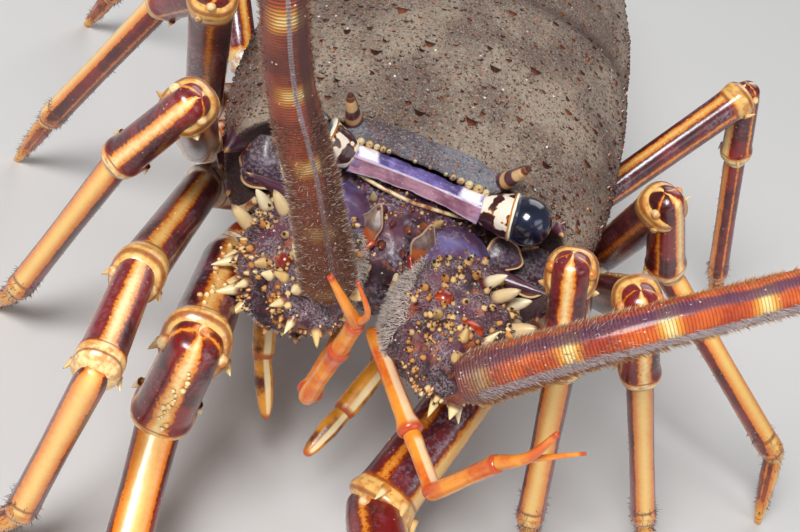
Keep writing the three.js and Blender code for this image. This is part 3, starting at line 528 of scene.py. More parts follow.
# %% Finish: felted back shell
def make_felt(name, light, dark, groove=True):
    material, shader, place = finish(name, roughness=0.75)
    lie = lie_of(place)
    ground = mottled(place, light, dark, 48.0, 0.5)
    colour = ground
    if groove:
        warm = times(fade(lie[1], -0.1, 0.55, 1.0, 0.0), fade(lie[2], 0.1, 0.7, 0.8, 0.35))
        colour = paint(colour, warm, "#74483a")
    dust = cloud_of(place, 2300.0, 3.0)
    colour = paint(colour, fade(dust, 0.52, 0.66, 0, 0.5), "#b9aca2")
    soot = cloud_of(place, 1300.0, 4.0)
    colour = paint(colour, fade(soot, 0.54, 0.66, 0, 0.6), "#413030")
    for size, low, high, dark_dot, light_dot in (
        (900.0, 0.14, 0.32, "#4c1a14", "#a05a34"), (1700.0, 0.2, 0.36, "#5e2418", "#b87846")
    ):
        specks, hue = cells_of(place, size, low, high, 0.9)
        shade = put("ShaderNodeSeparateXYZ", Vector=hue)
        spot = blend(fade(shade[0], 0.35, 0.65), tone(dark_dot), tone(light_dot))
        colour = blend(times(specks, fade(shade[1], 0.3, 0.5)), colour, spot)
    white, hue = cells_of(place, 330.0, 0.05, 0.11, 0.95)
    shade = put("ShaderNodeSeparateXYZ", Vector=hue)
    colour = paint(colour, times(white, fade(shade[1], 0.6, 0.65)), "#f4ece4")
    if groove:
        bent = calc("ADD", lie[2], times(calc("MAXIMUM", lie[1], 0.0), 0.16))
        dark_line = times(near_to(bent, 0.56, 0.006, 0.02), fade(lie[1], -0.3, -0.1, 0, 0.6))
        colour = paint(colour, dark_line, "#3a2624")
        colour = paint(colour, near_to(lie[2], 0.948, 0.008, 0.012), "#3c2422")
        colour = paint(colour, fade(lie[2], 0.962, 0.972, 0, 0.8), "#7c4234")
        colour = paint(colour, fade(lie[2], 0.989, 0.994, 0, 0.85), "#cfa27a")
        # painted shade: the end face behind the rear rim, in the gap towards the tail, is darkened
        colour = paint(colour, fade(lie[2], 1.0005, 1.003), "#45282a")
    # painted shade: the sunk front face and the inner turn of the rolled rim are darkened, for the shadowed
    # open front
    sunk = fade(lie[2], -0.0045, -0.0005, 1.0, 0.0)
    colour = paint(colour, sunk, "#2c1820", 0.8)
    feed(colour, shader["Base Color"])
    height = calc("ADD", dust, times(specks, 0.6))
    relief = put("ShaderNodeBump", Height=height, Strength=0.7, Distance=0.0005)
    feed(relief[0], shader["Normal"])
    return material


felt = make_felt("felted_shell_finish", "#968776", "#67574c")
brow_felt = make_felt("brow_finish", "#787a84", "#4a3c42", False)
print("felts:", felt.name, "and", brow_felt.name)

# %% [markdown]
# ## Finish of the spines
# A spine has the shell's colour at its foot, a paler shaft and a point of another tone. A
# material for every spine isn't needed, because each copy carries a number of its own that
# shifts its tones a little. One finish is made for each kind of spine.

# %% Finish: spines
def make_spine_finish(name, foot, shaft, other, point, point_start=0.78):
    material, shader, place = finish(name, roughness=0.34, coat=0.35, subsurface=0.06)
    tip = lie_of(place, "tip")
    jitter = times(tip[1], 0.25)
    height = calc("ADD", tip[0], calc("SUBTRACT", jitter, 0.12))
    body = blend(fade(tip[1], 0.3, 0.7), tone(shaft), tone(other))
    colour = blend(fade(height, 0.06, 0.34), tone(foot), body)
    colour = paint(colour, fade(height, point_start, point_start + 0.2), point)
    surface(shader, place, colour, 2500.0, 0.2)
    return material


cream_spine = make_spine_finish("cream_spine_finish", "#7a4a30", "#ecd8a4", "#dcb878", "#5c3018", 0.84)
golden_spine = make_spine_finish("golden_spine_finish", "#5a2c18", "#d0904c", "#e2bf84", "#3c1a10", 0.62)
brown_spine = make_spine_finish("brown_spine_finish", "#3a1a18", "#6e2c20", "#8a4a2c", "#d8934f", 0.8)
violet_spine = make_spine_finish("violet_spine_finish", "#54303e", "#4a2436", "#5c3040", "#d8a468", 0.72)
row_spine = make_spine_finish("row_spine_finish", "#5c1c20", "#e2d2ae", "#d8bc8c", "#5c3818", 0.88)
granule_finish, shader, place = finish("granule_finish", roughness=0.6)
tip = lie_of(place, "tip")
colour = blend(fade(tip[1], 0.3, 0.34), tone("#57261e"), tone("#85694f"))
colour = paint(colour, fade(tip[1], 0.62, 0.66), "#968a82")
colour = paint(colour, fade(tip[1], 0.93, 0.95), "#d8884a")
surface(shader, place, blend(fade(tip[0], 0.0, 0.5), tone("#5c4c48"), colour), 2500.0, 0.2)
print("finishes so far:", len(bpy.data.materials))

# %% [markdown]
# ## Back shell
# The back shell is one domed cover, widest behind its front edge, with a groove across it
# over the neck. Its front edge has a rolled rim, and the open front is sunk a little. It could
# be sculpted, but a formula for its rings also tells where its surface lies and which way it
# faces, and the spines need both.

# %% Back shell: form
SHELL_SIDES, SHELL_ROWS, MARGIN_ROWS, MARGIN_START = 168, 104, 22, 0.925
SHELL_WIDTH = [[0, 37.5], [0.07, 40.5], [0.18, 43], [0.4, 43.5], [0.65, 42.5], [0.85, 39.5], [1, 36]]
SHELL_TOP = [[0, 79.5], [0.06, 83], [0.16, 89], [0.35, 95.5], [0.6, 98], [0.85, 96.5], [1, 91]]
SHELL_BELLY = [[0, 43], [0.2, 43], [1, 42]]
SHELL_MIDDLE = [[0, 62], [0.3, 64], [1, 65]]


def read_table(table, t):
    rows = smooth_rows(table, 200, 0.04)
    return np.interp(t, rows[:, 0], rows[:, 1])


def shell_point(t, angle):
    t, angle = np.broadcast_arrays(np.asarray(t, float), np.asarray(angle, float))
    c, s = np.cos(angle), np.sin(angle)
    upper = s > 0
    middle = read_table(SHELL_MIDDLE, t)
    height = np.where(upper, read_table(SHELL_TOP, t) - middle, middle - read_table(SHELL_BELLY, t))
    power = np.where(upper, 2 / 2.25, 2 / 2.5)
    pinch = np.where(upper, 1, 1 - 0.24 * abs(s))
    groove = np.exp(-(((t - 0.56 + 0.16 * np.maximum(s, 0)) / 0.022) ** 2)) * np.clip((s + 0.3) / 0.2, 0, 1)
    rear_line = np.exp(-(((t - 0.948) / 0.012) ** 2))
    rear_edge = np.clip((t - 0.985) / 0.015, 0, 1) ** 2
    swell = 1 - 0.045 * groove - 0.022 * rear_line - 0.03 * rear_edge
    x = np.sign(c) * abs(c) ** power * read_table(SHELL_WIDTH, t) * swell * pinch
    z = middle + np.sign(s) * abs(s) ** power * height * swell
    front = np.where(upper, 11 * np.maximum(0, s - 0.8) - 1.5 * (1 - s), -1.5 - 14 * abs(s * c))
    y = t * SHELL_LENGTH + front * (1 - t) ** 6
    return np.stack([x, y, z], axis=-1)


def shell_facing(t, angle):
    across = shell_point(t, angle + 0.02) - shell_point(t, angle - 0.02)
    along = shell_point(np.minimum(t + 0.01, 1), angle) - shell_point(np.maximum(t - 0.01, 0), angle)
    return unit(np.cross(across, along))


def roughen(piece, size, depth, seed=0.0):
    """Moves the points in and out by a slow noise, in millimetres."""
    mesh = piece.data
    places, ways = np.empty(len(mesh.vertices) * 3), np.empty(len(mesh.vertices) * 3)
    mesh.vertices.foreach_get("co", places)
    mesh.vertices.foreach_get("normal", ways)
    places, ways = places.reshape(-1, 3), ways.reshape(-1, 3)
    shift = Vector((seed, 0, 0))
    lift = [noise.fractal(Vector(p) + shift, 0.8, 2.0, 3) for p in places / (size * MM)]
    mesh.vertices.foreach_set("co", (places + ways * np.array(lift)[:, None] * depth * MM).ravel())
    mesh.update()


angles = round_angles(SHELL_SIDES)
rows = np.concatenate([np.linspace(0, 0.92, SHELL_ROWS), np.linspace(MARGIN_START, 1, MARGIN_ROWS)])
rings = shell_point(rows[:, None], angles[None])
middle = rings[0].mean(axis=0)
rim = rings[0] + (middle - rings[0]) * 0.02 + [0, -0.35, 0]
lip = rings[0] + (middle - rings[0]) * 0.05 + [0, 0.3, 0]
sunk = rings[0] + (middle - rings[0]) * 0.12 + [0, 3.5, 0]
rings = np.concatenate([sunk[None], lip[None], rim[None], rings])
shell = skin("back_shell", rings, np.concatenate([[-0.02, -0.01, -0.005], rows]), material=felt)
roughen(shell, 9.0, 0.22)
print("back shell points:", len(shell.data.vertices))

# %% [markdown]
# ## Spines of the back shell
# Rows of strong red-brown spines lean forward over the back shell, with small spines and
# grains between them. Pale beads and long violet spines stand along the front edge. Nodes
# could scatter them. Here the roots come from the formula of the skin, and the large spines
# take the same chance numbers as the solids do, so both stand in the same places.

# %% Back shell: spines
SPINE_LINES = [7, 20, 34, 48, 62]
PER_LINE = 7
roots, ways, lengths, widths = [], [], [], []
for sign in (-1, 1):
    for line, offset in enumerate(SPINE_LINES):
        for i in range(PER_LINE):
            t = 0.06 + (0.86 * (i + (line % 2) * 0.5 + 0.35 * (dice.roll() - 0.5))) / PER_LINE
            lean = math.radians(offset + 5 * (dice.roll() - 0.5))
            angle = math.pi / 2 - sign * lean
            grown = (1 - 0.5 * t) * (1 - 0.35 * line / 5) * (0.75 + 0.5 * dice.roll())
            roots.append(shell_point(t, angle))
            ways.append(shell_facing(t, angle) * 0.8 + [0, -0.6, 0])
            lengths.append(4.2 * grown)
            widths.append(1.35 * grown)
large_spines = sow(
    "back_spines_large", SPINE, roots, ways, np.array(lengths) * 0.85, np.array(widths) * 0.95,
    material=brown_spine
)

RIM_BEADS = [
    (-13.2, 1.15), (-11.4, 1.0), (-9.9, 0.9), (-8.6, 0.85), (-7.4, 0.7), (-2.0, 0.6), (1.2, 0.5),
    (4.6, 0.6), (6.1, 0.8), (7.8, 0.95), (9.6, 1.15), (11.6, 1.3), (13.4, 1.0),
]
BROW_HALF, BROW_ROWS = 16.5, 90
brow_x = np.linspace(-BROW_HALF, BROW_HALF, BROW_ROWS)
brow_line = np.stack([brow_x, -1.0 + 0.004 * brow_x ** 2, 79.3 - 0.006 * brow_x ** 2], axis=1)
brow_wide = np.sqrt(np.clip(1 - (brow_x / 16.6) ** 6, 0.03, 1))
brow = skin(
    "brow", rings_along(brow_line, 3.3 * brow_wide, 0.9 * brow_wide, [0, -1, -0.35], 36, 2.6),
    material=brow_felt
)
roughen(brow, 4.0, 0.25, 21.0)
rim_place = np.array([(x, -3.7 + 0.004 * x * x, 78.2 - 0.006 * x * x) for x, _ in RIM_BEADS])
rim_size = np.array([size for _, size in RIM_BEADS])
beads = sow(
    "rim_beads", SPINE, rim_place, np.array([[0, -0.85, 0.5]] * len(RIM_BEADS)), rim_size * 2.1, rim_size,
    material=cream_spine
)
MARGIN_SPINES = [
    (25, 0.4, 76.6, 0.15, -0.9, 0.4, 3.4, 1.2),
    (30, -0.2, 73.6, 0.15, -0.9, 0.4, 5, 1.5),
    (36.6, -0.4, 64, 0.05, -0.95, 0.3, 9, 2.6),
    (37.6, 2, 57.5, -0.05, -0.95, 0.2, 5.5, 1.7),
    (34.2, -3, 55.5, -0.1, -0.95, 0.1, 4.5, 1.6),
    (27, -6.4, 49.5, -0.1, -0.95, -0.1, 4, 1.5),
]
margin = paired_spines("margin_spines", MARGIN_SPINES, violet_spine)


def scatter_on_shell(count_t, count_a, stray):
    grid_t, grid_a = np.meshgrid(np.arange(count_t), np.arange(count_a), indexing="ij")
    t = (grid_t + 0.5 + stray * (chance.random(grid_t.shape) - 0.5)) / count_t
    turn = (grid_a + 0.5 * (grid_t % 2) + stray * (chance.random(grid_t.shape) - 0.5)) / count_a
    t, turn = t.ravel() * 0.985 + 0.01, math.radians(-22) + turn.ravel() * math.radians(224)
    facing = shell_facing(t, turn)
    lean = facing * 0.8 + np.array([0, -0.6, 0]) + 0.2 * chance.normal(size=(t.size, 3))
    return t, turn, shell_point(t, turn), lean


t, turn, roots, lean = scatter_on_shell(30, 42, 0.8)
size = (0.6 + 0.8 * chance.random(t.size) ** 2) * (1.15 - 0.5 * t)
small_spines = sow(
    "back_spines_small", SMALL_SPINE, roots, lean, 1.25 * size, 0.55 * size, material=brown_spine
)
t, turn, roots, lean = scatter_on_shell(76, 106, 0.9)
size = (0.6 + 0.8 * chance.random(t.size)) * (1.1 - 0.3 * t)
granules = sow("back_granules", GRANULE, roots, lean, 0.6 * size, 0.3 * size, material=granule_finish)
shell = join([shell, brow, large_spines, margin, beads, small_spines, granules], "back_shell")
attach(shell, "root")
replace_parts(shell, "carapace")
print("faces of the back shell with its spines:", len(shell.data.polygons))

# %% [markdown]
# ## Finishes of the head
# The head has the most colours: a maroon face with grey dust, a lilac bar with white patches,
# violet domes, blotched cream eyestalks and dark blue eyes. Their patterns differ too much to
# share one finish. Marks with a fixed place are laid by the numbers of the skin, the rest by
# noise and cells.

# %% Finishes of the head
plate_finish, shader, place = finish("purple_plate_finish", roughness=0.42, coat=0.2, subsurface=0.04)
ground = mottled(place, "#5e3446", "#2a121c", 190.0, 0.5)
rust = cloud_of(place, 260.0)
colour = paint(ground, fade(rust, 0.56, 0.66, 0, 0.8), "#8c4420")
dusty = dust_of(place, 1300.0, 0.46, 0.58, 120.0, 0.4, 0.56)
colour = paint(colour, dusty, "#85798a", 0.85)
white = cells_of(place, 420.0, 0.06, 0.12, 0.9)[0]
colour = paint(colour, white, "#e8dccc")
surface(shader, place, colour, 900.0, 0.6)

lilac_finish, shader, place = finish("lilac_plate_finish", roughness=0.26, coat=0.5, subsurface=0.12)
lie = lie_of(place)
round_bar = calc("ARCTAN2", lie[1], lie[0])
ground = mottled(place, "#8a78ba", "#5e4e86", 170.0, 0.48)
pink = mottled(place, "#b98a9e", "#8c5c72", 150.0, 0.5)
low = times(fade(round_bar, 0.86, 0.94), fade(round_bar, 2.0, 2.1, 1.0, 0.0))
colour = blend(low, ground, pink)
line = calc("MAXIMUM", near_to(round_bar, 0.86, 0.05, 0.06), near_to(round_bar, 2.05, 0.04, 0.05))
colour = paint(colour, line, "#d8c8d8", 0.75)
middle = calc("ABSOLUTE", calc("SUBTRACT", lie[2], 0.5))
veil = cloud_of(place, 330.0, 4.0)
off = calc("ADD", middle, times(calc("SUBTRACT", veil, 0.5), 0.1))
top_side = fade(round_bar, 0.7, 0.85, 1.0, 0.0)
patch = times(near_to(off, 0.385, 0.055, 0.03), top_side)
dark_patch = times(near_to(off, 0.265, 0.025, 0.03), top_side)
colour = paint(colour, dark_patch, "#3c3666", 0.7)
colour = paint(colour, patch, "#f4ecf2")
ends = fade(off, 0.455, 0.48)
colour = paint(colour, ends, "#a890b4", 0.6)
dust = cells_of(place, 1300.0, 0.08, 0.2, 0.6)[0]
colour = paint(colour, dust, "#cfc4cc")
surface(shader, place, colour, 600.0, 0.16)

dome_finish, shader, place = finish("dome_finish", roughness=0.32, coat=0.35, subsurface=0.08)
ground = mottled(place, "#6c6294", "#5c3c58", 130.0, 0.52)
dusty = dust_of(place, 1400.0, 0.48, 0.6, 150.0, 0.5, 0.62)
colour = paint(ground, dusty, "#958a92", 0.8)
surface(shader, place, colour, 900.0, 0.25)

rimmed_finish, shader, place = finish("rimmed_plate_finish", roughness=0.42, coat=0.2, subsurface=0.05)
lie = lie_of(place)
ground = mottled(place, "#54405c", "#361824", 200.0, 0.54)
dust = cloud_of(place, 1400.0, 4.0)
lay = fade(cloud_of(place, 110.0), 0.34, 0.52, 0.45, 0.95)
colour = paint(ground, times(fade(dust, 0.46, 0.6), lay), "#7d6f72")
broken = fade(cloud_of(place, 170.0), 0.4, 0.52)
colour = paint(colour, times(near_to(lie[2], 0.88, 0.03, 0.05), broken), "#8c3c18")
colour = paint(colour, times(near_to(lie[2], 0.97, 0.055, 0.03), broken), "#dcbc88")
surface(shader, place, colour, 900.0, 0.35)

flap_finish, shader, place = finish("flap_finish", roughness=0.35, coat=0.2, subsurface=0.3)
lie = lie_of(place)
ground = mottled(place, "#8e7868", "#5c4040", 240.0, 0.5)
colour = paint(ground, fade(lie[1], -0.35, 0.1, 1.0, 0.0), "#a85420")
colour = paint(colour, near_to(lie[2], 0.98, 0.04, 0.03), "#b0947c")
surface(shader, place, colour, 900.0, 0.25)

rust_rim_finish, shader, place = finish("rust_rim_finish", roughness=0.3, coat=0.4, subsurface=0.1)
ground = mottled(place, "#ecd0a0", "#8c4420", 420.0, 0.46)
surface(shader, place, ground, 900.0, 0.2)

rust_finish, shader, place = finish("rust_knuckle_finish", roughness=0.25, coat=0.5, subsurface=0.1)
ground = mottled(place, "#d2501c", "#7e2416", 260.0, 0.5)
surface(shader, place, ground, 900.0, 0.2)

stalk_finish, shader, place = finish("blotched_stalk_finish", roughness=0.3, coat=0.45, subsurface=0.1)
lie = lie_of(place)
blot = put("ShaderNodeTexNoise", Vector=place, Scale=330.0, Detail=2.0, Roughness=0.45)[0]
more = calc("ADD", blot, fade(calc("ABSOLUTE", calc("SUBTRACT", lie[2], 0.42)), 0.05, 0.22, 0.1, 0.0))
colour = blend(fade(more, 0.52, 0.54), tone("#ece2d0"), tone("#a8622c"))
colour = paint(colour, fade(more, 0.535, 0.57), "#3a1418")
colour = paint(colour, fade(lie[2], 0.16, 0.24, 1.0, 0.0), "#8a709c")
colour = paint(colour, near_to(lie[2], 0.93, 0.018, 0.012), "#c98a34")
colour = paint(colour, fade(lie[2], 0.945, 0.965), "#f2ead8")
surface(shader, place, colour, 900.0, 0.2)

eye_finish, shader, place = finish("dark_eye_finish", roughness=0.16, coat=0.8)
sheen = put("ShaderNodeTexNoise", Vector=place, Scale=160.0, Detail=2.0)
colour = blend(fade(sheen[0], 0.35, 0.65), tone("#090b16"), tone("#1f2540"))
feed(colour, shader["Base Color"])
facets = put("ShaderNodeTexVoronoi", Vector=place, Scale=5200.0, Randomness=0.2)
relief = put("ShaderNodeBump", Height=facets[0], Strength=0.06, Distance=0.0001)
feed(relief[0], shader["Normal"])

horn_finish, shader, place = finish("horn_finish", roughness=0.34, coat=0.35)
lie = lie_of(place)
ground = mottled(place, "#6a3a44", "#2c1420", 320.0, 0.5)
colour = paint(ground, near_to(lie[2], 0.3, 0.04, 0.04), "#d8a870")
front = fade(lie[1], -0.35, 0.25, 1.0, 0.0)
spot = times(near_to(lie[2], 0.72, 0.14, 0.05), front)
colour = paint(colour, spot, "#dfb886")
colour = paint(colour, times(near_to(lie[2], 0.84, 0.03, 0.03), front), "#7a3a14")
colour = paint(colour, fade(lie[2], 0.9, 0.97), "#5c2c18")
surface(shader, place, colour, 1200.0, 0.3)
print("finishes so far:", len(bpy.data.materials))

# %% [markdown]
# ## Face and bar
# Between the feeler bases lies a narrow face plate with spines, flaps and soft rims, and above
# it the bar that joins the two eyestalks. A cylinder could be bent into the bar, but rings
# along a line also give it two fine ridges and the hollow between them.

# %% Face and bar
X_AXIS, Z_AXIS = np.array([1.0, 0, 0]), np.array([0, 0, 1.0])
FACE_ROWS, FACE_SIDES = 60, 72
FACE = [
    [9, 59, 22, 12], [-3, 59.5, 17.5, 12.6], [-9, 60, 11, 11.6], [-15, 59.5, 7.5, 9.6], [-20, 58, 5, 6.5]
]
face_rows = smooth_rows([[-row[0], *row[1:]] for row in FACE], FACE_ROWS, 0.05)
centres = np.stack([np.zeros(FACE_ROWS), -face_rows[:, 0], face_rows[:, 1]], axis=1)
forward = np.tile([0, -1.0, 0], (FACE_ROWS, 1))
face = skin(
    "face_plate", rings_along(centres, face_rows[:, 2], face_rows[:, 3], X_AXIS, FACE_SIDES, 2.4, forward),
    material=plate_finish
)
roughen(face, 4.0, 0.5, 3.0)
FACE_SPINES = [
    (6.6, -9.2, 69.8, 0.2, -0.6, 0.8, 4.4, 1.1),
    (4.2, -3.6, 71.8, 0.2, -0.7, 0.6, 1.6, 0.7),
    (9.0, -3.4, 70.6, 0.3, -0.7, 0.6, 2.2, 0.9),
]
BROWN_FACE_SPINES = [
    (4.4, -11.5, 69.6, 0.3, -0.75, 0.6, 3.8, 1.5),
    (1.6, -13.8, 69.2, 0.1, -0.8, 0.5, 2.6, 1.0),
    (2.1, -17.4, 66.2, 0.1, -0.9, 0.4, 2.8, 1.1),
    (0.9, -9.5, 71.2, 0.1, -0.8, 0.5, 1.6, 0.7),
]

face_spines = paired_spines("face_spines", FACE_SPINES, cream_spine)
brown_face_spines = paired_spines("brown_face_spines", BROWN_FACE_SPINES, brown_spine)
FACE_GRAINS = 900
picked = chance.integers(0, len(face.data.vertices), FACE_GRAINS)
face_points = np.array([face.data.vertices[int(k)].co for k in picked]) / MM - HOME / MM
face_ways = np.array([face.data.vertices[int(k)].normal for k in picked])
grown = 0.5 + chance.random(FACE_GRAINS) ** 3
face_grains = sow(
    "face_grains", SMALL_SPINE, face_points, face_ways, 0.8 * grown, 0.36 * grown, material=golden_spine
)


def rod(name, points, radius, material, steps=40, sides=12):
    """Thin closed ridge along a few points, with tapered ends."""
    path = smooth_rows([[k / (len(points) - 1), *p] for k, p in enumerate(points)], steps, 0.12)
    t = path[:, 0]
    wide = radius * np.sqrt(np.clip(1 - (2 * t - 1) ** 8, 0.02, 1))
    return skin(name, rings_along(path[:, 1:], wide, wide, [0.3, 0.2, 1], sides, 2.0), t, material=material)


def shield(name, centre, facing, up, half_width, half_height, bulge, material, point=0.0, sides=56):
    """Domed plate with a raised rim; a point above 0 draws its top out."""
    facing = unit(facing)
    side = unit(np.cross(up, facing))
    up = np.cross(facing, side)
    angle = round_angles(sides)
    c, s = np.cos(angle), np.sin(angle)
    stretch = 1 + point * np.maximum(0, s) ** 5
    uneven = 1 + 0.07 * np.cos(3 * angle + centre[1]) + 0.05 * np.cos(5 * angle + centre[2])
    rows = [(0.25, -0.7), (0.8, -0.7), (0.97, -0.45), (1.0, -0.1), (0.99, 0.2), (0.95, 0.32), (0.91, 0.2)]
    rows += [(r, 0.15 + bulge * (1 - (r / 0.91) ** 2)) for r in (0.86, 0.78, 0.66, 0.52, 0.36, 0.2, 0.07)]
    rings = []
    for r, depth in rows:
        flat = np.outer(r * half_width * c * uneven, side)
        flat = flat + np.outer(r * half_height * s * stretch * uneven, up)
        rings.append(np.array(centre) + flat + facing * depth)
    return skin(
        name, rings, [min(r + (0.1 if k < 3 else 0), 1.2) for k, (r, _) in enumerate(rows)],
        material=material
    )


def ball(name, centre, radii, segments=48, rows=28, material=None):
    bpy.ops.object.select_all(action="DESELECT")
    bpy.ops.mesh.primitive_uv_sphere_add(segments=segments, ring_count=rows, radius=1)
    piece = bpy.context.object
    piece.name = name
    p = np.array([vertex.co for vertex in piece.data.vertices])
    piece.data.vertices.foreach_set("co", (HOME + (np.array(centre) + p * radii) * MM).ravel())
    bpy.ops.object.shade_smooth()
    return dye(piece, material)


jaws = [ball("jaw", (sign * 4.6, -5, 47.5), (4.4, 5, 3.8), material=dome_finish) for sign in (-1, 1)]
RIM_LINE = [(-12.5, -5.2, 71.6), (-6.5, -7.4, 71.9), (0, -8.4, 72.0), (6.5, -7.0, 71.6), (12.5, -4.6, 70.9)]
trim = [rod("face_rim", RIM_LINE, 0.42, rust_rim_finish)]
for sign in (-1, 1):
    m = np.array([sign, 1, 1])
    trim.append(shield(
        "flap", np.array([5.6, -15.6, 67.6]) * m, [0.45 * sign, -0.75, 0.5], [0.1 * sign, 0.3, 1], 2.7, 3.4,
        0.5, flap_finish, 0.5
    ))
    trim.append(rod(
        "flap_rim", np.array([(3.6, -17.6, 66.8), (4.8, -19.0, 65.2), (7.0, -20.0, 65.0)]) * m, 0.7,
        rust_finish, 24
    ))
    trim.append(rod(
        "flap_rim", np.array([(2.6, -18.4, 65.0), (2.9, -20.4, 61.5), (3.0, -20.6, 58)]) * m, 0.6,
        rust_rim_finish, 24
    ))
face = join([face, face_spines, brown_face_spines, face_grains, *jaws, *trim], "face_plate")
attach(face, "root")
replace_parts(face, "face")

BAR_HALF, BAR_Y, BAR_Z, BAR_RADIUS = 14, -5.4, 74.5, 2.4
BAR_ROWS, BAR_SIDES = 90, 72
t = np.linspace(-1, 1, BAR_ROWS)
centres = np.stack([t * BAR_HALF, BAR_Y + 0.9 * (1 - t * t), np.full(BAR_ROWS, BAR_Z)], axis=1)
bar_rings = rings_along(
    centres, BAR_RADIUS * (1 + 0.25 * t * t), BAR_RADIUS * (1.1 + 0.2 * t * t), Z_AXIS, BAR_SIDES, 2.0
)
bar_turn = round_angles(BAR_SIDES)
bar_turn = np.where(bar_turn > math.pi, bar_turn - 2 * math.pi, bar_turn)
ridge = 0.13 * np.exp(-(((bar_turn - 0.87) / 0.09) ** 2)) + 0.1 * np.exp(-(((bar_turn - 2.05) / 0.09) ** 2))
hollow = 0.1 * np.exp(-(((bar_turn - 1.45) / 0.34) ** 2))
bar_rings = centres[:, None] + (bar_rings - centres[:, None]) * (1 + ridge - hollow)[None, :, None]
bar = skin("eye_bar", bar_rings, material=lilac_finish)
roughen(bar, 4.0, 0.32, 9.0)
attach(bar, "root")
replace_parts(bar, "ocular_bar")
print("points of face and bar:", len(face.data.vertices), len(bar.data.vertices))

# %% [markdown]
# ## Eyestalks, eyes, horns and domes
# Each eye is a dark ball on a short stalk with a pale rim, and a curved horn guards it. A
# smooth purple dome sits between the face and each feeler base. The eyes and domes are scaled
# spheres. Stalks and horns are skins, because their width changes along their length.

# %% Eyestalks, eyes, horns and domes
EYE_X, EYE_Y, EYE_Z, EYE_RADIUS = 22.8, -6, 76.5, 4.9
HORN, HORN_REACH, HORN_RADIUS = np.array([15.6, 2, 77]), np.array([3.2, -9, 10.5]), 2.7
DOME, DOME_RADII = np.array([12, -11, 62.5]), np.array([9.5, 9.5, 7.8])
for side, sign in SIDES:
    mirror = np.array([sign, 1, 1])
    start = np.array([sign * (BAR_HALF - 2), BAR_Y, BAR_Z])
    stop = np.array([sign * (EYE_X - 2.6), EYE_Y, EYE_Z - 0.2])
    stalk = segment(
        "eyestalk_piece_" + side, start, stop, Z_AXIS,
        [
            [0, 2.4, 2.4], [0.2, 2.5, 2.4], [0.24, 3.0, 2.9], [0.55, 3.9, 3.7], [0.8, 4.45, 4.35],
            [0.91, 4.6, 4.5], [0.95, 4.95, 4.85], [1.0, 4.8, 4.7]
        ],
        sides=56, count=90, power=2.0, softness=0.02, round_ends=False,
    )
    roughen(stalk, 3.0, 0.16, 5.0 + sign)
    dye(stalk, stalk_finish)
    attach(stalk, "root")
    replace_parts(stalk, "eyestalk_" + side)
    eye = ball(
        "eye_piece_" + side, (sign * EYE_X, EYE_Y, EYE_Z), (EYE_RADIUS,) * 3, segments=64, rows=40,
        material=eye_finish
    )
    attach(eye, "root")
    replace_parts(eye, "eye_" + side)

    rows = smooth_rows(
        [
            [-0.15, 1.25, 1.4], [0.05, 0.98, 1.1], [0.2, 0.8, 0.92], [0.45, 0.66, 0.74], [0.75, 0.5, 0.54],
            [0.9, 0.32, 0.34], [1, 0.05, 0.05]
        ],
        60, 0.03
    )
    t = rows[:, 0]
    centres = (HORN * mirror) + np.outer(t, HORN_REACH * mirror)
    centres += np.stack([0 * t, 2.4 * t * t, 1.6 * t * (1 - t)], axis=1)
    horn = skin(
        "horn_piece_" + side,
        rings_along(
            centres, rows[:, 1] * HORN_RADIUS * 0.78, rows[:, 2] * HORN_RADIUS * 0.8, X_AXIS, 28, 2.0
        ),
        t, material=horn_finish
    )
    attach(horn, "root")
    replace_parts(horn, "horn_" + side)

    dome = ball("feeler_dome_" + side, DOME * mirror, DOME_RADII, material=dome_finish)
    roughen(dome, 5.0, 0.2, 7.0)
    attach(dome, "root")
    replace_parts(dome, "antenna_base_" + side)
cheeks = []
for sign in (-1, 1):
    m = np.array([sign, 1, 1])
    cheeks.append(shield(
        "cheek", np.array([29.4, -0.6, 61.6]) * m, [0.1 * sign, -0.85, 0.5], [0.25 * sign, 0.4, 1], 5.6,
        5.0, 1.3, rimmed_finish, 0.4
    ))
    cheeks.append(shield(
        "cheek", np.array([21.8, -4.6, 65.6]) * m, [0.1 * sign, -0.8, 0.6], [-0.4 * sign, 0.4, 1], 4.4, 3.2,
        1.1, rimmed_finish, 0.25
    ))
    cheeks.append(rod(
        "cheek_rod", np.array([(31.5, -6.6, 52.5), (29.2, -8.6, 56), (27.4, -9.4, 60.5)]) * m, 0.85,
        rust_rim_finish, 30
    ))
face = join([face, *cheeks], "face_plate")
print("head plates done")

# %% [markdown]
# ## Feeler bases
# Each long feeler grows from two thick joints that are armed all over with pale cones. Big
# ones stand on the outer side. Between them the shell is dark and felted. Placing each cone
# by hand would take long, so only the large outer ones are listed, and the rest find their
# roots on the rings of the joint.

# %% Feeler bases
spiny_finish, shader, place = finish("spiny_shell_finish", roughness=0.55, coat=0.15)
ground = mottled(place, "#5e2c3c", "#28101c", 150.0, 0.5)
rust = cloud_of(place, 210.0)
colour = paint(ground, fade(rust, 0.54, 0.66, 0, 0.85), "#a4501e")
dusty = dust_of(place, 2400.0, 0.42, 0.6, 230.0, 0.36, 0.58)
colour = paint(colour, dusty, "#8d7d82", 0.85)
white = cells_of(place, 520.0, 0.06, 0.13, 0.9)[0]
colour = paint(colour, white, "#ece4da")
surface(shader, place, colour, 1200.0, 0.8)

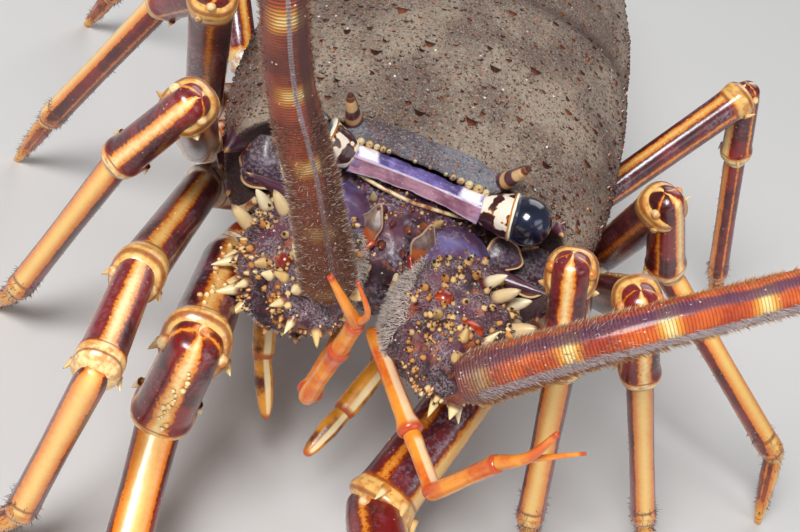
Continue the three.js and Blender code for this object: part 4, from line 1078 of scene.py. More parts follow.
ANTENNA = {
    "right": {
        "block": [(-17.2, -9, 59), (-13.6, -34, 58)],
        "wrist": [(-13.5, -31, 59), (-10, -38, 66)],
        "feeler": [
            (-8.8, -39.5, 69), (-19, -49, 96), (-27.5, -58, 117), (-33, -67, 138), (-52, -66, 190),
            (-88, -35, 250), (-138, 18, 300)
        ],
    },
    "left": {
        "block": [(17.2, -9, 59), (13.6, -34, 58)],
        "wrist": [(14, -31, 59), (20, -41, 63)],
        "feeler": [
            (19.5, -44, 64), (41, -41, 84.5), (68, -31, 102), (130, -5, 138), (198, 30, 166), (268, 74, 186)
        ],
    },
}
BLOCK_PROFILE = [[0, 8, 8], [0.22, 11.2, 10.8], [0.55, 12, 11.8], [0.85, 10.6, 10.6], [1, 8, 8]]
WRIST_PROFILE = [[0, 7, 7], [0.4, 7.6, 7.4], [0.85, 7, 6.8], [1, 5.6, 5.6]]
KNUCKLES = {
    "left": [((11.9, -28.4, 68.4), (1.9, 1.9, 1.5)), ((18.5, -32.6, 67.0), (2.5, 1.7, 1.6))],
    "right": [((-18.1, -34.5, 66.6), (1.6, 1.6, 2.0)), ((-11.9, -28.4, 68.4), (1.9, 1.9, 1.5))],
}
ROOT_KNOBS = {
    "right": [
        (-14.2, -41.5, 67.6, -0.3, -0.9, 0.3), (-4.2, -38.5, 69.0, 0.6, -0.75, 0.3),
        (-19.5, -35.5, 63.5, -0.7, -0.6, 0.3)
    ],
    "left": [
        (15.5, -42.5, 60.0, -0.4, -0.8, -0.3), (17.0, -41.5, 66.8, -0.2, -0.5, 0.8),
        (20.5, -43.5, 57.4, 0.0, -0.7, -0.7)
    ],
}
WING = np.array([22.3, -15.8, 68.2, 0.95, -0.3, 0.3, 9.6, 2.3])
OUTER_ROW = np.array([
    (18.3, -21.8, 69.6, 0.55, -0.1, 0.82, 5.8, 1.25),
    (21.2, -22.6, 68.3, 0.6, -0.12, 0.76, 6.2, 1.35),
    (24.4, -20.6, 66.2, 0.66, -0.12, 0.7, 5.6, 1.3),
    (26.8, -22.6, 62.6, 0.72, -0.15, 0.6, 6.2, 1.45),
])
BLOCK_ROWS, BLOCK_SPINES_ROUND, LARGE_SPINE = 6, 9, 1.42
BLOCK_CONES, WRIST_CONES, WRIST_SPINES_ROUND = 620, 190, 10
OUTER_SPINES = [(0.3, 0.5, 5.5), (0.48, 0.35, 6.5), (0.66, 0.5, 6.5), (0.84, 0.3, 6), (0.6, 0.95, 4.5)]


def on_segment(start, stop, normal, profile, t, angle, power=2.3):
    start, stop = np.asarray(start, float), np.asarray(stop, float)
    along = unit(stop - start)
    across = unit(normal - along * (normal @ along))
    up = np.cross(along, across)
    t, angle = np.asarray(t, float), np.asarray(angle, float)
    table = np.array(profile)
    x, y = power_angle(angle, power)
    x, y = x * np.interp(t, table[:, 0], table[:, 1]), y * np.interp(t, table[:, 0], table[:, 2])
    places = start + np.multiply.outer(t, stop - start) + np.multiply.outer(x, across)
    places = places + np.multiply.outer(y, up)
    facing = unit(np.multiply.outer(np.cos(angle), across) + np.multiply.outer(np.sin(angle), up))
    return places, facing, along


for side, sign in SIDES:
    start, stop = ANTENNA[side]["block"]
    block = segment(
        "feeler_block_" + side, start, stop, X_AXIS, BLOCK_PROFILE, sides=64, count=60, power=2.3,
        material=spiny_finish
    )
    roughen(block, 3.5, 0.9, 2.0 * sign)
    roots, ways, sizes = [], [], []
    for row in range(BLOCK_ROWS):
        for k in range(BLOCK_SPINES_ROUND):
            t = 0.14 + 0.155 * row + 0.05 * (dice.roll() - 0.5)
            angle = (k + 0.5 * (row % 2) + 0.4 * (dice.roll() - 0.5)) / BLOCK_SPINES_ROUND * 2 * math.pi
            place, facing, along = on_segment(start, stop, X_AXIS, BLOCK_PROFILE, t, angle)
            grown = 0.7 + 0.6 * dice.roll() + (0.5 if row == BLOCK_ROWS - 1 else 0)
            if facing[0] * sign > -0.6 and facing[2] > -0.75:
                roots.append(place)
                ways.append(facing + along * (0.25 + 0.16 * row))
                sizes.append((2.7 * grown, 1.25 * grown ** 0.5))
    for t, angle, length in OUTER_SPINES:
        turned = angle if sign > 0 else math.pi - angle
        place, facing, along = on_segment(start, stop, X_AXIS, BLOCK_PROFILE, t, -turned)
        roots.append(place)
        ways.append(facing + along * 0.35)
        sizes.append((length, 1.9))
    sizes = np.array(sizes)
    large = sizes[:, 1] > LARGE_SPINE
    parts = [block]
    for name, chosen, material in (("large", large, cream_spine), ("middle", ~large, golden_spine)):
        parts.append(sow(
            "block_spines_" + name, SPINE, np.array(roots)[chosen], np.array(ways)[chosen],
            sizes[chosen, 0] * 0.85, sizes[chosen, 1] * 0.85, material=material
        ))
    count = BLOCK_CONES
    t, angle = 0.06 + 0.94 * chance.random(count), 2 * math.pi * chance.random(count)
    place, facing, along = on_segment(start, stop, X_AXIS, BLOCK_PROFILE, t, angle)
    clump = np.array([noise.noise(Vector(p) / 4.5) for p in place])
    keep = (facing[:, 0] * sign > -0.75) & (clump > -0.12)
    grown = (0.5 + 1.0 * chance.random(count) ** 2)[keep]
    ways = facing[keep] + along * 0.4 + 0.25 * chance.normal(size=(keep.sum(), 3))
    parts.append(sow(
        "block_cones", SPINE, place[keep], ways, 1.5 * grown, 0.62 * grown ** 0.7, material=golden_spine
    ))
    for spot, radii in KNUCKLES[side]:
        parts.append(ball("knuckle", spot, radii, segments=28, rows=16, material=rust_finish))
    m = np.array([sign, 1, 1])
    wing = sow(
        "outer_wing", SPINE, [WING[:3] * m], [WING[3:6] * m], WING[6], WING[7], sink=0.5,
        material=violet_spine
    )
    row = OUTER_ROW * np.array([sign, 1, 1, sign, 1, 1, 1, 1])
    thick = sow(
        "outer_row", BLUNT_SPINE, row[:, :3], row[:, 3:6], row[:, 6], row[:, 7], sink=0.4,
        material=row_spine
    )
    parts += [wing, thick]
    block = join(parts, "feeler_block_" + side)
    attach(block, "root")
    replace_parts(block, "antenna_block_" + side)

    start, stop = ANTENNA[side]["wrist"]
    wrist = segment(
        "feeler_wrist_" + side, start, stop, X_AXIS, WRIST_PROFILE, sides=48, count=40, power=2.3,
        material=spiny_finish
    )
    roughen(wrist, 3.0, 0.6, 4.0 * sign)
    roots, ways, sizes = [], [], []
    for k in range(WRIST_SPINES_ROUND):
        place, facing, along = on_segment(
            start, stop, X_AXIS, WRIST_PROFILE, 0.86, k / WRIST_SPINES_ROUND * 2 * math.pi
        )
        if facing[0] * sign > -0.5:
            roots.append(place)
            ways.append(facing + along * 0.35)
            sizes.append((3.2 + dice.roll(), 1.3))
    sizes = np.array(sizes)
    large = sow(
        "wrist_spines", SPINE, roots, ways, sizes[:, 0] * 0.9, sizes[:, 1] * 0.9, material=cream_spine
    )
    count = WRIST_CONES
    t, angle = 0.1 + 0.9 * chance.random(count), 2 * math.pi * chance.random(count)
    place, facing, along = on_segment(start, stop, X_AXIS, WRIST_PROFILE, t, angle)
    ways = facing + along * 0.5 + 0.2 * chance.normal(size=place.shape)
    grown = 0.5 + 0.9 * chance.random(count) ** 2
    cones = sow("wrist_cones", SPINE, place, ways, 1.4 * grown, 0.6 * grown, material=golden_spine)
    knob = np.array(ROOT_KNOBS[side])
    knobs = sow("root_knobs", SPINE, knob[:, :3], knob[:, 3:6], 2.6, 1.5, material=cream_spine)
    wrist = join([wrist, large, cones, knobs], "feeler_wrist_" + side)
    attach(wrist, "root")
    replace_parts(wrist, "antenna_wrist_" + side)
print("feeler bases done")

# %% [markdown]
# ## Finish of the legs
# Cream and orange stripes run along each piece of a leg on dark maroon, with ragged edges and
# fine dots. A painted stripe would need a map of every piece. Here the angle round the skin
# and the place along it tell how deep a point lies inside a dark panel, so one finish, with
# other widths and tones, serves every piece of all ten legs.

# %% Finish: striped leg
def make_leg_finish(name, stripe, seam, ends, reach, panel, frame, felted=0.0):
    """Dark panels with rounded ends on an amber ground; a wide stripe makes narrow panels."""
    material, shader, place = finish(name, roughness=0.28, coat=0.5, subsurface=0.05)
    lie = lie_of(place)
    base = mottled(place, panel[0], panel[1], 100.0, 0.5)
    wave = times(calc("SUBTRACT", cloud_of(place, 150.0), 0.5), 0.22)
    fray = times(calc("SUBTRACT", cloud_of(place, 1100.0), 0.5), 0.28)
    turn = calc("ABSOLUTE", turn_of(lie))
    near_end = times(calc("SUBTRACT", lie[2], ends[0]), reach)
    far_end = times(calc("SUBTRACT", ends[1], lie[2]), reach)
    inside_ends = calc("MINIMUM", near_end, far_end)
    depth = None
    for low, high in ((stripe, seam), (seam + 0.24, 2.75)):
        width = calc("SMOOTH_MIN", calc("SUBTRACT", turn, low), calc("SUBTRACT", high, turn), 0.1)
        inside = calc("SMOOTH_MIN", width, inside_ends, 0.35)
        depth = inside if depth is None else calc("MAXIMUM", depth, inside)
    depth = calc("ADD", depth, calc("ADD", wave, fray))
    cream = blend(fade(depth, -1.1 * stripe, -0.06), tone(frame[0]), tone(frame[1]))
    colour = paint(cream, fade(depth, -0.08, 0.01), "#8a3212")
    colour = blend(fade(depth, 0.0, 0.07), colour, base)
    specks = cells_of(place, 520.0, 0.05, 0.12, 0.8)[0]
    colour = paint(colour, times(specks, fade(depth, 0.0, 0.1)), "#e0b088")
    stipple = cells_of(place, 850.0, 0.12, 0.24, 0.85)[0]
    edge = times(fade(depth, -0.26, -0.02), stipple)
    colour = paint(colour, edge, "#5a1c14")
    if felted:
        dust = cloud_of(place, 1200.0, 4.0)
        lay = times(fade(cloud_of(place, 70.0), 0.42, 0.58), fade(dust, 0.45, 0.6, 0, felted))
        colour = paint(colour, times(lay, fade(depth, 0.02, 0.12)), "#8a7c8c")
    collar = times(fade(lie[2], 0.88, 0.93), cloud_of(place, 520.0, 4.0))
    colour = paint(colour, fade(collar, 0.42, 0.6, 0, 0.7), "#c4742a")
    for seat in (0.885, 0.975):
        colour = paint(colour, near_to(lie[2], seat, 0.003, 0.012), "#84381a", 0.75)
    surface(shader, place, colour, 900.0, 0.22)
    return material


hip_finish = make_leg_finish(
    "hip_finish", 0.25, 1.3, (0.12, 0.84), 3.0, ("#a8381a", "#701c10"), ("#f0e4d0", "#e09040")
)
thigh_finish = make_leg_finish(
    "thigh_finish", 0.26, 1.42, (0.06, 0.88), 9.0, ("#742228", "#3a1018"), ("#ecbc6c", "#d67c22"), 0.6
)
knee_finish = make_leg_finish(
    "knee_finish", 0.3, 1.3, (-0.25, 0.88), 5.0, ("#842020", "#420e12"), ("#f8da98", "#e28420"), 0.2
)
shin_finish = make_leg_finish(
    "shin_finish", 0.82, 1.6, (-0.03, 0.95), 16.0, ("#8a2420", "#4c1418"), ("#f7cd78", "#e27a14")
)
foot_finish = make_leg_finish(
    "foot_finish", 0.9, 1.4, (0.05, 0.6), 5.0, ("#a8481c", "#6c2414"), ("#f0a83c", "#d87820")
)
leg_spine = make_spine_finish("leg_spine_finish", "#c07a30", "#f0d8a0", "#e4bc78", "#7a3c1c", 0.86)
skin_finish, shader, place = finish("joint_skin_finish", roughness=0.4, coat=0.3, subsurface=0.15)
ground = mottled(place, "#f2d6a0", "#cc7a2c", 240.0, 0.5)
surface(shader, place, ground, 900.0, 0.3)
print("finishes so far:", len(bpy.data.materials))

# %% [markdown]
# ## Legs
# A leg has a short hip joint and a long thigh, then a knee piece, a shin and a pointed foot.
# Pale soft skin shows at the knee, in two knobs, and as a ring where the shin joins. Stretched
# cylinders would be too plain, as the real pieces swell towards their ends. So each is a skin
# along its own middle line, with a table of its widths.

# %% Legs
LEG_SIZES = [
    (5.4, 6.4, 6.2, 4.7, 3.0), (4.9, 4.8, 4.3, 3.1, 2.3), (4.8, 4.8, 4.2, 2.9, 2.2),
    (4.6, 4.6, 4.0, 2.8, 2.1), (4.3, 4.1, 3.6, 2.6, 2.0),
]
LEG_POSE = {
    "right": [
        [(-20, 12, 42), (-29, -7, 41), (-27.5, -47, 50), (-29, -45, 30), (-25, -67, 12), (-23, -79, 0)],
        [(-24, 25, 43), (-40, 5, 47), (-41.5, -48, 61), (-40, -72, 60), (-46, -66, 14), (-53, -62, 0)],
        [(-26, 38, 43), (-45.5, 21, 46), (-44.5, -26, 85), (-54, -22, 65), (-69, -9, 13), (-75, -2, 0)],
        [(-28, 51, 43), (-49, 37, 46), (-51, 10, 88), (-62, 23, 74), (-83, 42, 21), (-90, 50, 0)],
        [(-27, 64, 43), (-46, 62, 45), (-69, 89, 75), (-76, 97, 57), (-91, 114, 16), (-97, 121, 0)],
    ],
    "left": [
        [(20, 12, 42), (30, -5, 42), (17, -40, 21), (22, -60, 25), (32, -90, 12), (36, -102, 0)],
        [(24, 25, 43), (44, 8, 47), (31, -26, 83), (38.5, -26, 61), (51, -19, 15), (57, -16, 0)],
        [(26, 38, 43), (50.5, 25, 47), (47.6, -16.5, 76), (56.5, -13, 57), (78, -3, 13), (85, 1, 0)],
        [(28, 51, 43), (49, 39, 46), (49, 10, 83), (58, 17, 64), (106, 24, 23), (114, 26, 0)],
        [(27, 64, 43), (46, 62, 45), (71, 83, 78), (78, 87, 59), (95, 99, 16), (102, 104, 0)],
    ],
}


def rim_spines(start, stop, normal, profile, t, angles, size):
    place, facing, along = on_segment(
        start, stop, normal, profile, np.full(len(angles), t), np.array(angles), 2.6
    )
    return sow(
        "rim_spines", SPINE, place, facing * 0.5 + along, size, size * 0.36, sink=0.6, material=leg_spine
    )


def stripe_cones(start, stop, normal, profile, index, low, high):
    """Low pale bumps in a row along the top stripe, strongest on the first leg."""
    count = 16 if index == 0 else 9
    t = np.linspace(low, high, count) + 0.01 * chance.normal(size=count)
    angle = math.pi / 2 + 0.14 * chance.normal(size=count)
    place, facing, along = on_segment(start, stop, normal, profile, t, angle, 2.5)
    size = (0.9 if index == 0 else 0.3) * (0.6 + 0.7 * chance.random(count))
    shape = BLUNT_SPINE if index == 0 else GRANULE
    return sow(
        "stripe_cones", shape, place, facing + along * 0.3, 0.8 * size, 0.55 * size, material=leg_spine
    )


for side in ("right", "left"):
    for index, joints in enumerate(LEG_POSE[side]):
        root, hip, knee, wrist, ankle, tip = np.array(joints, float)
        k, m, c, p, d = LEG_SIZES[index]
        normal = unit(np.cross(knee - hip, ankle - knee))
        thigh_profile = [
            [-0.05, m * 0.7, m * 0.7], [0.1, m * 0.86, m * 0.92], [0.5, m * 0.88, m * 0.98],
            [0.84, m * 0.92, m * 1.0], [0.9, m * 0.95, m * 1.03], [0.94, m * 1.06, m * 1.14],
            [0.975, m * 1.06, m * 1.13], [1.01, m * 0.86, m * 0.9],
        ]
        thigh = segment(
            "thigh", hip, knee, normal, thigh_profile, count=60, power=2.5, softness=0.03,
            material=thigh_finish
        )
        hip_profile = [
            [-0.1, k * 1.1, k * 1.1], [0.35, k * 1.02, k * 1.02], [0.75, k * 1.06, k * 1.06],
            [0.85, k * 0.96, k * 0.96], [1.12, k * 0.85, k * 0.85]
        ]
        hip_joint = segment("hip", root, hip, Z_AXIS, hip_profile, material=hip_finish)
        rim = 3.4 if index == 0 else 2.4
        angles = [0.25, 1.1, math.pi - 0.25, math.pi - 1.1] if index == 0 else [0.35, math.pi - 0.35]
        knuckles = []
        for sign in (-1, 1):
            spot = knee + normal * sign * c * 0.86 + unit(knee - hip) * m * 0.1
            knuckles.append(ball(
                "knuckle", spot, (m * 0.22,) * 3, segments=20, rows=12, material=skin_finish
            ))
        upper = join(
            [
                thigh, hip_joint, *knuckles,
                stripe_cones(hip, knee, normal, thigh_profile, index, 0.12, 0.84),
                rim_spines(hip, knee, normal, thigh_profile, 0.93, [-a for a in angles], rim)
            ],
            f"leg_{index + 1}_{side}_thigh"
        )
        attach(upper, "root")
        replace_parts(upper, f"leg_{index + 1}_{side}_upper")

        back = 0.85 * c / np.linalg.norm(wrist - knee)
        knee_profile = [
            [-back, c * 0.3, c * 0.35], [-back * 0.85, c * 0.62, c * 0.64],
            [-back * 0.5, c * 0.8, c * 0.84], [0.1, c * 0.86, c * 0.93], [0.8, c * 0.93, c],
            [0.89, c * 1.03, c * 1.1], [0.98, c * 0.98, c * 1.04], [1.02, c * 0.84, c * 0.88],
            [1.05, c * 0.7, c * 0.74],
        ]
        knee_piece = segment(
            "knee", knee, wrist, normal, knee_profile, count=56, power=2.5, softness=0.03,
            material=knee_finish
        )
        shin_profile = [
            [-0.04, p * 0.82, p * 0.86], [0.05, p * 0.95, p], [0.5, p * 0.9, p * 0.95],
            [0.9, p * 0.95, p * 1.02], [0.96, p * 1.04, p * 1.12], [1.03, p * 0.75, p * 0.78],
        ]
        shin = segment(
            "shin", wrist, ankle, normal, shin_profile, count=50, power=2.5, material=shin_finish
        )
        foot_end = tip + unit(tip - ankle) * 0.6
        foot_profile = [
            [-0.12, d * 0.8, d * 0.8], [0.05, d * 0.98, d * 0.98], [0.3, d, d], [0.8, d * 0.62, d * 0.62],
            [1, 0.75, 0.75]
        ]
        foot = segment(
            "foot", ankle, foot_end, normal, foot_profile, sides=20, round_ends=False, material=foot_finish
        )
        cuff_profile = [[0, p * 0.9, p * 0.9], [0.5, p * 1.02, p * 1.06], [1, p * 0.9, p * 0.9]]
        cuff_ends = wrist + (wrist - knee) * -0.1, wrist + (ankle - wrist) * 0.05
        cuff = segment("cuff", *cuff_ends, normal, cuff_profile, sides=28, count=12, material=skin_finish)
        cones = stripe_cones(knee, wrist, normal, knee_profile, index, 0.0, 0.82)
        lower = join(
            [
                knee_piece, shin, foot, cuff, cones,
                rim_spines(knee, wrist, normal, knee_profile, 0.9, [-0.4, 0.4 - math.pi], rim * 0.9)
            ],
            f"leg_{index + 1}_{side}_shin"
        )
        mesh = lower.data
        for vertex in mesh.vertices:
            vertex.co.z = max(vertex.co.z, 0.0)
        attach(lower, "root")
        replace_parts(lower, f"leg_{index + 1}_{side}_lower")
print("legs done")

# %% [markdown]
# ## Finish of the feelers
# A feeler is rust red or orange, with fine dark rings, painted highlights in bright spots, a violet
# band and a pale line of felt. The highlight spots come in even steps, which noise alone can't
# give, so a sine of the distance makes them, and a little noise moves them about.

# %% Finish: ringed feeler
def make_feeler_finish(
    name, light, dark, band_tone, band_at, line_at, line_width, highlight_at, strong, root_tone, root_reach
):
    """Violet band at one angle from the crest, a pale felt line at another, and painted highlights in
    spots.
    """
    material, shader, place = finish(name, roughness=0.38, coat=0.35, subsurface=0.05)
    lie = lie_of(place)
    turn = calc("ARCTAN2", lie[1], lie[0])
    ground = mottled(place, light, dark, 100.0, 0.5)
    ruddy = fade(turn, 1.9, 2.3)
    colour = paint(ground, ruddy, "#6e2418", 0.7)
    step = times(lie[2], 2 * math.pi / 17.0)
    waver = times(calc("SUBTRACT", cloud_of(place, 60.0, 2.0), 0.5), 1.6)
    beat = calc("SINE", calc("ADD", step, waver))
    sway = times(calc("SUBTRACT", cloud_of(place, 110.0), 0.5), 0.7)
    turned = calc("ADD", turn, sway)
    # painted highlights: bright spots with a paler core, in even steps along one side of the whip
    painted_highlight = times(fade(beat, 0.45, 0.95), near_to(turned, highlight_at, 0.45, 0.9))
    colour = paint(colour, times(painted_highlight, strong), "#f0a83c")
    highlight_core = times(fade(beat, 0.85, 1.0), near_to(turned, highlight_at, 0.3, 0.5))
    colour = paint(colour, times(highlight_core, strong), "#fbdc90")
    rings = calc("SINE", times(lie[2], 2 * math.pi / RING_PITCH))
    colour = paint(colour, fade(rings, 0.0, 0.95, 0.0, 0.55), "#6a2210")
    band = times(near_to(turned, band_at, 0.2, 0.24), 0.85)
    colour = paint(colour, band, band_tone)
    line = near_to(turn, line_at, line_width, 0.06)
    colour = paint(colour, line, "#a8989c", 0.8)
    root = fade(lie[2], root_reach * 0.2, root_reach, 0.8, 0.0)
    colour = paint(colour, root, root_tone)
    dots = cells_of(place, 620.0, 0.06, 0.13, 0.85)[0]
    colour = paint(colour, dots, "#ece4dc")
    feed(colour, shader["Base Color"])
    height = calc("ADD", times(rings, -0.5), cloud_of(place, 1500.0, 4.0))
    relief = put("ShaderNodeBump", Height=height, Strength=0.45, Distance=0.0004)
    feed(relief[0], shader["Normal"])
    return material


RING_PITCH = 0.62
FEELER_FINISH = {
    "right": make_feeler_finish(
        "right_feeler_finish", "#a8461a", "#62200f", "#4c1c18", 0.7, 0.08, 0.07, 0.1, 0.8, "#63361f", 46.0
    ),
    "left": make_feeler_finish(
        "left_feeler_finish", "#de661a", "#a83014", "#4c3450", 0.62, 1.98, 0.13, 1.4, 1.0, "#6e3f3c", 13.0
    ),
}
CREST = {"right": unit([0.12, -0.85, 0.5]), "left": unit([0, 0.25, 1])}
print("rings to a centimetre of feeler:", round(10 / RING_PITCH))

# %% [markdown]
# ## Feelers
# A feeler is one long whip of hundreds of short rings, thick and hairy at its root. A bevelled
# curve would give a smooth whip, but no rings. So a ringed skin is swept along the same smooth
# curve as the solid.

# %% Feelers: form
FEELER_RADIUS = [
    [0, 3.9], [0.004, 4.7], [0.012, 5.15], [0.08, 4.3], [0.2, 3.7], [0.6, 2.1], [0.98, 0.62], [1, 0.5]
]
FEELER_SPLIT, GAP = 0.45, 0.3


def whip_curve(points, steps=60):
    """Smooth curve through the points, and how far along it each of its own points lies."""
    p = np.array(points, float)
    p = np.concatenate([[2 * p[0] - p[1]], p, [2 * p[-1] - p[-2]]])
    out = []
    for k in range(1, len(p) - 2):
        p0, p1, p2, p3 = p[k - 1:k + 3]
        d0, d1, d2 = (np.linalg.norm(b - a) ** 0.5 for a, b in ((p0, p1), (p1, p2), (p2, p3)))
        m1 = ((p1 - p0) / d0 - (p2 - p0) / (d0 + d1) + (p2 - p1) / d1) * d1
        m2 = ((p2 - p1) / d1 - (p3 - p1) / (d1 + d2) + (p3 - p2) / d2) * d1
        t = np.linspace(0, 1, steps, endpoint=k == len(p) - 3)[:, None]
        rise = (2 * t**3 - 3 * t**2 + 1) * p1 + (t**3 - 2 * t**2 + t) * m1
        out.append(rise + (-2 * t**3 + 3 * t**2) * p2 + (t**3 - t**2) * m2)
    path = np.concatenate(out)
    far = np.concatenate([[0], np.cumsum(np.linalg.norm(np.diff(path, axis=0), axis=1))])
    return path, far


def spots_along(path, far, s):
    """Points on a path at the distances s from its start."""
    return np.stack([np.interp(s, far, path[:, k]) for k in range(3)], axis=1)


FEELER_PATH = {side: whip_curve(ANTENNA[side]["feeler"]) for side in ("right", "left")}
for side in ("right", "left"):
    path, far = FEELER_PATH[side]
    length = far[-1]
    for half, low, high in (("lower", 0.0, FEELER_SPLIT), ("upper", FEELER_SPLIT + GAP / length, 1.0)):
        s = np.arange(low * length, high * length, RING_PITCH / 2)
        s = np.append(s, high * length)
        centres = spots_along(path, far, s)
        table = np.array(FEELER_RADIUS)
        radius = np.interp(s / length, table[:, 0], table[:, 1])
        radius = radius * np.array([1.015, 0.965])[np.arange(len(s)) % 2]
        tangents = unit(np.gradient(centres, axis=0))
        whip = skin(
            f"feeler_{half}_{side}",
            rings_along(centres, radius * 0.97, radius * 0.97, CREST[side], 22, 2.0, tangents), s,
            material=FEELER_FINISH[side]
        )
        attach(whip, "root")
        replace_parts(whip, f"feeler_{side}_{half}")
print("feeler lengths in mm:", {side: round(FEELER_PATH[side][1][-1]) for side in FEELER_PATH})

# %% [markdown]
# ## Bristles
# Fine bristles stand in rows on the feelers and in tufts on the feeler bases and legs. Strands
# would be easy to comb, but they are no solid mesh. So one bristle is copied many times into
# one mesh. Its map puts each copy in a small patch at the place of its root on an unwrap of
# the skin that it grows from.

# %% Bristles of the feelers
PATCH_SIZE = 0.003


def root_patches(piece, shape, unwrap):
    """Map named OFBake: one small patch for each copy, at its root's place on the unwrap."""
    co = shape[0]
    layer = piece.data.uv_layers.new(name="OFBake")
    corners = np.empty(len(piece.data.loops), int)
    piece.data.loops.foreach_get("vertex_index", corners)
    copy, point = corners // len(co), corners % len(co)
    inside = np.stack([co[point, 0] * 0.5, co[point, 2] - 0.5], axis=1) * PATCH_SIZE
    layer.data.foreach_set("uv", (np.clip(np.asarray(unwrap)[copy], 0.002, 0.998) + inside).ravel())


def make_bristle_finish(name, root, tip_tone):
    material, shader, place = finish(name, roughness=0.7)
    tip = lie_of(place, "tip")
    shade = blend(tip[1], tone(root), tone(tip_tone))
    feed(paint(shade, fade(tip[0], 0.2, 1.0), tip_tone), shader["Base Color"])
    return material


LILAC_BRISTLE = make_bristle_finish("lilac_bristle_finish", "#8a7478", "#c4b6b4")
BROWN_BRISTLE = make_bristle_finish("brown_bristle_finish", "#8a4a20", "#c08a50")
GREY_BRISTLE = make_bristle_finish("grey_bristle_finish", "#683c28", "#a4826e")
PALE_BRISTLE = make_bristle_finish("pale_bristle_finish", "#a48e84", "#ece0d6")
DARK_BRISTLE = make_bristle_finish("dark_bristle_finish", "#38221e", "#6c4c34")


def feeler_bristles(name, side, count, span, turn, spread, length, radius, material, forward=0.5):
    """Bristles on a feeler, at the distances in span and about one angle from its crest."""
    path, far = FEELER_PATH[side]
    table = np.array(FEELER_RADIUS)
    s = span[0] + (span[1] - span[0]) * chance.random(count)
    angle = turn + spread * chance.normal(size=count) * 0.5
    centre = spots_along(path, far, s)
    ahead = spots_along(path, far, s + 0.5)
    along = unit(ahead - centre + 1e-9)
    across = unit(CREST[side] - along * (along @ CREST[side])[:, None])
    up = np.cross(along, across)
    outward = across * np.cos(angle)[:, None] + up * np.sin(angle)[:, None]
    reach = np.interp(s / far[-1], table[:, 0], table[:, 1]) * 0.95
    ways = outward + along * forward + 0.22 * chance.normal(size=centre.shape)
    size = (0.6 + 0.8 * chance.random(count)) * np.clip(reach / 3.0, 0.35, 1.2)
    piece = sow(
        name, BRISTLE, centre + outward * reach[:, None], ways, length * size, radius, 0.5, material
    )
    root_patches(piece, BRISTLE, np.stack([(angle / (2 * math.pi)) % 1.0, s / far[-1]], axis=1))
    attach(piece, "root")


for side in ("right", "left"):
    whole = FEELER_PATH[side][1][-1] - 9
    if side == "left":
        feeler_bristles(
            "fringe_pale_left", side, 7800, (3, whole), 1.98, 0.24, 1.0, 0.07, LILAC_BRISTLE, 1.1
        )
        feeler_bristles(
            "fringe_under_left", side, 5000, (2, whole), 2.7, 0.6, 1.0, 0.065, BROWN_BRISTLE, 0.9
        )
        feeler_bristles("fringe_top_left", side, 3600, (4, whole), -0.2, 0.5, 0.7, 0.06, BROWN_BRISTLE, 1.0)
        feeler_bristles("hairy_root_left", side, 2400, (1, 30), 0.4, 5.0, 0.7, 0.055, GREY_BRISTLE, 1.4)
    else:
        feeler_bristles(
            "fringe_line_right", side, 2600, (3, whole), 0.08, 0.1, 0.5, 0.05, LILAC_BRISTLE, 1.2
        )
        feeler_bristles(
            "fringe_one_right", side, 2800, (2, whole), 1.55, 0.5, 0.7, 0.055, GREY_BRISTLE, 1.0
        )
        feeler_bristles(
            "fringe_two_right", side, 2800, (2, whole), -1.55, 0.5, 0.7, 0.055, GREY_BRISTLE, 1.0
        )
        feeler_bristles("hairy_root_right", side, 4600, (1, 48), 0.4, 5.0, 0.95, 0.055, GREY_BRISTLE, 1.2)
    feeler_bristles(
        "pale_root_" + side, side, 900 if side == "right" else 260, (1, 38), 0.4, 4.0, 1.0, 0.05,
        PALE_BRISTLE, 0.9
    )
print("feeler bristles done")

# %% [markdown]
# ## Bristles of the bases and legs
# The feeler bases carry a soft pale coat, and the shins and feet short dark tufts. They are
# made as on the feelers, but their roots lie on the straight skins of the limbs, so the table
# of widths of each limb tells where they stand.

# %% Bristles of the feeler bases and legs
def segment_bristles(
    name, start, stop, normal, profile, count, t_span, turn, spread, length, radius, material
):
    """Bristles on one limb piece, leaning towards its far end."""
    t = t_span[0] + (t_span[1] - t_span[0]) * chance.random(count)
    angle = turn + spread * (chance.random(count) - 0.5)
    place, facing, along = on_segment(start, stop, normal, profile, t, angle, 2.4)
    ways = facing * 0.8 + along * 0.7 + 0.42 * chance.normal(size=place.shape)
    size = 0.5 + 0.9 * chance.random(count)
    piece = sow(name, BRISTLE, place - facing * 0.15, ways, length * size, radius, 0.5, material)
    root_patches(piece, BRISTLE, np.stack([(angle / (2 * math.pi)) % 1.0, np.clip(t, 0, 1)], axis=1))
    return piece


